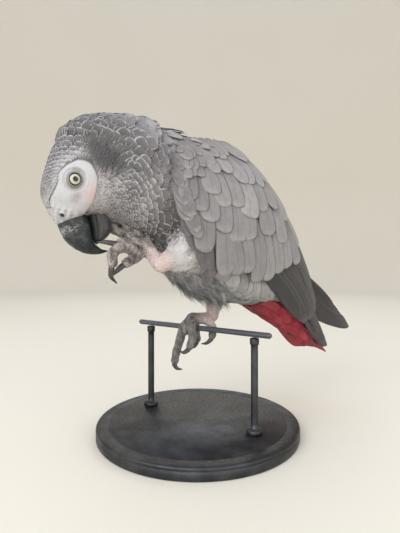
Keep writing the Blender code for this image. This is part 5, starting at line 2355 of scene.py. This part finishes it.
@dataclass
class Scales:
    """The small raised scales of the lower legs and the toes: low domes on many roots on the skin.

    Attributes:
        figure: what is known of the coat.
        surface: the skin.
    """

    figure: Figure
    surface: Surface
    spacing: float = 1.05
    seed: int = 51

    def build(self, finish: Material) -> None:
        """Builds the domes: a base ring, a higher smaller ring and a top, on six sides.

        Args:
            finish: the scales' material.
        """
        roots, normals = self.surface.scatter(
            lambda p: np.full(len(p), self.spacing), lambda p, n: self.figure.foot(p) > 0.7, self.seed
        )
        rng = np.random.default_rng(self.seed)
        count = len(roots)
        way = unit(np.cross(normals, rng.normal(size=(count, 3))))
        side = np.cross(normals, way)
        angle = np.arange(6) * math.pi / 3
        size = self.spacing * rng.uniform(0.42, 0.56, (count, 1, 1))
        ring = way[:, None] * np.cos(angle)[:, None] + side[:, None] * np.sin(angle)[:, None]
        base = roots[:, None] + ring * size * 1.12 - normals[:, None] * 0.14
        middle = roots[:, None] + ring * size * 0.8 + normals[:, None] * 0.17
        top = (roots + normals * 0.26)[:, None]
        points = np.concatenate([base, middle, top], 1)
        caps = np.array([(6 + k, 6 + (k + 1) % 6, 12) for k in range(6)])
        floor = np.arange(6)[::-1][None]
        shell = repeated(points, [quads_between(2, 6, True), caps, floor])
        tone = self.figure.hide(roots, normals) * rng.uniform(0.85, 1.18, (count, 1))
        shell.marks["Coat"] = np.repeat(tone, points.shape[1], 0)
        shell.marks["Pebble"] = np.zeros(len(shell.points))
        publish(make_object("foot_scales", shell, finish), "foot_scale")


# ---- perch and stand


@dataclass
class DisplayStand:
    """The length of wire that the parrot grips and the turned steel stand below it.

    Attributes:
        turn: the wire's turn from the row's X axis.
    """

    turn: float = math.radians(16)

    def lathe(self, middle: Array, profile: tuple, sides: int) -> Shell:
        """A turned form: each (radius, height) of the profile goes round the upright axis at the middle.

        Args:
            middle: the axis's x and y and the height that the profile starts from.
            profile: radius and height pairs from the bottom to the top.
            sides: points in a ring.

        Returns:
            The closed shell.
        """
        rows = np.array(profile, float)
        angle = turns(sides)[None]
        radius, height = rows[:, :1], rows[:, 1:2]
        x = middle[0] + radius * np.cos(angle)
        y = middle[1] + radius * np.sin(angle)
        return closed_rings(np.stack(np.broadcast_arrays(x, y, middle[2] + height), -1))

    def wire(self) -> Shell:
        """The perch wire: a tube with rounded ends and a very slight unevenness, as long as its solid."""
        middle, size = middle_of("perch_wire")
        radius = size[2] / 2
        way = np.array([math.cos(self.turn), math.sin(self.turn), 0.0])
        half = (size[0] / 2 - radius * math.sin(self.turn)) / math.cos(self.turn) - radius
        share = np.linspace(-1, 1, 25)
        path = middle + way * (share * half)[:, None]
        return tube(path, np.full(25, radius), 160, 28, 0.008, 11)

    def build(self) -> None:
        """Builds the wire, the two rods with their collars and the round base."""
        steel = BlackenedSteel().make()
        publish(make_object("wire_perch", self.wire(), HammeredEnamel().make()), "perch_wire", "perch_wire")
        middle, size = middle_of("stand_base")
        radius, height = size[0] / 2, size[2]
        bend = 1.6  # the radius of the rounded upper edge
        turned = np.linspace(1.57, 0, 8)
        edge = [(radius - bend + bend * math.sin(a), height - bend + bend * math.cos(a)) for a in turned]
        base = [(0.5, 0), (radius - 1.2, 0), (radius - 0.4, 0.3), (radius, 1.1), (radius, height - 3.0)]
        base += [(radius - 0.35, height - 2.6), (radius, height - 2.2), *edge, (radius - 9, height)]
        base += [(radius - 9.4, height - 0.35), (radius - 9.9, height - 0.35), (radius - 10.3, height)]
        base += [(0.5, height)]
        disc = self.lathe(np.array([middle[0], middle[1], middle[2] - height / 2]), tuple(base), 160)
        publish(make_object("stand_disc", disc, steel), "stand_metal", "stand_base")
        for number in (1, 2):
            middle, size = middle_of(f"stand_rod_{number}")
            r, tall = size[0] / 2, size[2]
            foot = [(0.4, 0), (r + 3.0, 0), (r + 3.4, 0.4), (r + 3.4, 2.6), (r + 2.9, 3.2), (r + 0.6, 3.6)]
            foot += [(r, 4.4)]
            head = [(r, tall - 5.2), (r + 0.5, tall - 4.8), (r + 0.7, tall - 4.2), (r + 0.7, tall - 0.9)]
            head += [(r + 0.3, tall - 0.3), (0.4, tall)]
            shank = [(r, h) for h in np.linspace(8, tall - 9, 9)]
            start = np.array([middle[0], middle[1], middle[2] - tall / 2])
            rod = self.lathe(start, (*foot, *shank, *head), 40)
            publish(make_object(f"stand_post_{number}", rod, steel), "stand_metal", f"stand_rod_{number}")


# ---- studio


@dataclass
class Studio:
    """A pale round cove, soft lamps and the camera.

    Attributes:
        camera_place: the camera's place in mm.
        camera_turn: the level direction that it looks in, as an angle from +Y towards -X.
        lens: the focal length on a 36 mm sensor.
    """

    camera_place: tuple = (249.2, -192.7, 128.4)
    camera_turn: float = math.radians(52)
    lens: float = 27.02
    radius: float = 2500.0
    bowl: float = 700.0
    sides: int = 120

    def floor(self) -> None:
        """Builds the cove: a round floor whose rim curves up into a wall, as rings of a profile."""
        bend = np.linspace(0, math.pi / 2, 24)
        rim = self.radius - self.bowl + self.bowl * np.sin(bend)
        radius = np.concatenate([[10, 300, 900], rim, [self.radius, self.radius]])[:, None]
        height = np.concatenate([[0, 0, 0], self.bowl - self.bowl * np.cos(bend), [1400, 2600]])[:, None]
        angle = turns(self.sides)[None]
        rings = np.stack(np.broadcast_arrays(radius * np.cos(angle), radius * np.sin(angle), height), -1)
        points = np.concatenate([rings.reshape(-1, 3), [[0.0, 0.0, 0.0]]])
        here = np.arange(self.sides)
        centre = np.stack([here, (here + 1) % self.sides, np.full(self.sides, len(points) - 1)], -1)
        walls = quads_between(len(rings), self.sides, True)[:, ::-1]
        make_object("studio_cove", Shell(points, [walls, centre[:, ::-1]]), StudioPaper().make())

    def lamp(self, name: str, place: tuple, aim: tuple, size: float, power: float, colour: str) -> None:
        """Adds one square soft lamp.

        Args:
            name: its name.
            place: where it stands, in mm.
            aim: what it points at, in mm.
            size: its side in mm.
            power: in watts.
            colour: its colour as hex.
        """
        data = bpy.data.lights.new(name, "AREA")
        data.size = size * MM
        data.energy = power
        data.color = tuple(linear(colour))
        made = bpy.data.objects.new(name, data)
        made.location = Vector(place) * MM
        made.rotation_euler = (Vector(aim) - Vector(place)).to_track_quat("-Z", "Y").to_euler()
        bpy.context.scene.collection.objects.link(made)

    def build(self) -> None:
        """Sets up the cove, the lamps, the soft ambient light and the camera."""
        scene = bpy.context.scene
        scene.view_settings.view_transform = "Standard"
        scene.view_settings.look = "None"
        self.floor()
        aim = (0, 0, 150)
        self.lamp("key_lamp", (350, -1300, 950), aim, 1000, 16.0, "#f3f8ff")
        self.lamp("low_fill_lamp", (850, -950, 120), (0, 0, 120), 900, 9.0, "#f3f6ff")
        self.lamp("side_fill_lamp", (1250, 300, 500), aim, 1100, 7.0, "#f0f5ff")
        self.lamp("back_lamp", (-900, 900, 1200), aim, 900, 4.0, "#f6f9ff")
        world = bpy.data.worlds.new("soft_room_light")
        world.use_nodes = True
        shine = world.node_tree.nodes["Background"]
        shine.inputs["Color"].default_value = (0.90, 0.97, 1.12, 1.0)
        shine.inputs["Strength"].default_value = 1.0
        scene.world = world
        data = bpy.data.cameras.new("camera")
        data.lens = self.lens
        data.sensor_width = 36.0
        data.clip_start = 0.01
        data.dof.use_dof = False
        camera = bpy.data.objects.new("camera", data)
        camera.location = Vector(self.camera_place) * MM
        camera.rotation_euler = (math.pi / 2, 0.0, self.camera_turn)
        scene.collection.objects.link(camera)
        scene.camera = camera


# ---- the whole


def main() -> None:
    """Builds the parrot, its perch, the stand and the studio in order."""
    logging.basicConfig(level=logging.INFO, format="%(message)s")
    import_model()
    head = HeadFrame()
    figure = Figure(head)
    hide = ParrotHide().make()
    down = FeatherKeratin("contour_feather", 10.0, "#c4c1bf", 0.04, 0.9, 0.05).make()
    grey = FeatherKeratin("wing_covert_feather", 34.0, "#a8a29f", 0.2, 0.85, 0.10).make()
    dark = FeatherKeratin("flight_feather", 60.0, "#7f7975", 0.4, 0.6, 0.12).make()
    red = FeatherKeratin("red_tail_feather", 50.0, "#b85560", 0.3, 0.8, 0.10, 0.04, 0.2).make()
    skin = Skin(figure)
    body = skin.build(hide)
    flesh = ("head", "neck", "trunk", "thigh_left", "thigh_right", "foot_left", "foot_right")
    publish(body, "plumage_grey", *flesh)
    middle = figure.middle_x
    left = Wing("left", WingSheet(NEAR_WING, 1, middle), WingSheet(NEAR_QUILLS, 1, middle), 5)
    right = Wing("right", WingSheet(FAR_WING, -1, middle), WingSheet(FAR_QUILLS, -1, middle), 6)
    shields = [left.coverts, right.coverts]
    BodyCoat(figure, skin.surface, shields).build(down)
    Down(figure, skin.surface, shields).build(down)
    left.build(grey, dark)
    right.build(grey, dark)
    Tail(middle).build(red)
    Bill(head).build()
    Eyes(head).build()
    Claws().build()
    Scales(figure, skin.surface).build(hide)
    DisplayStand().build()
    Studio().build()


if __name__ == "__main__":
    main()
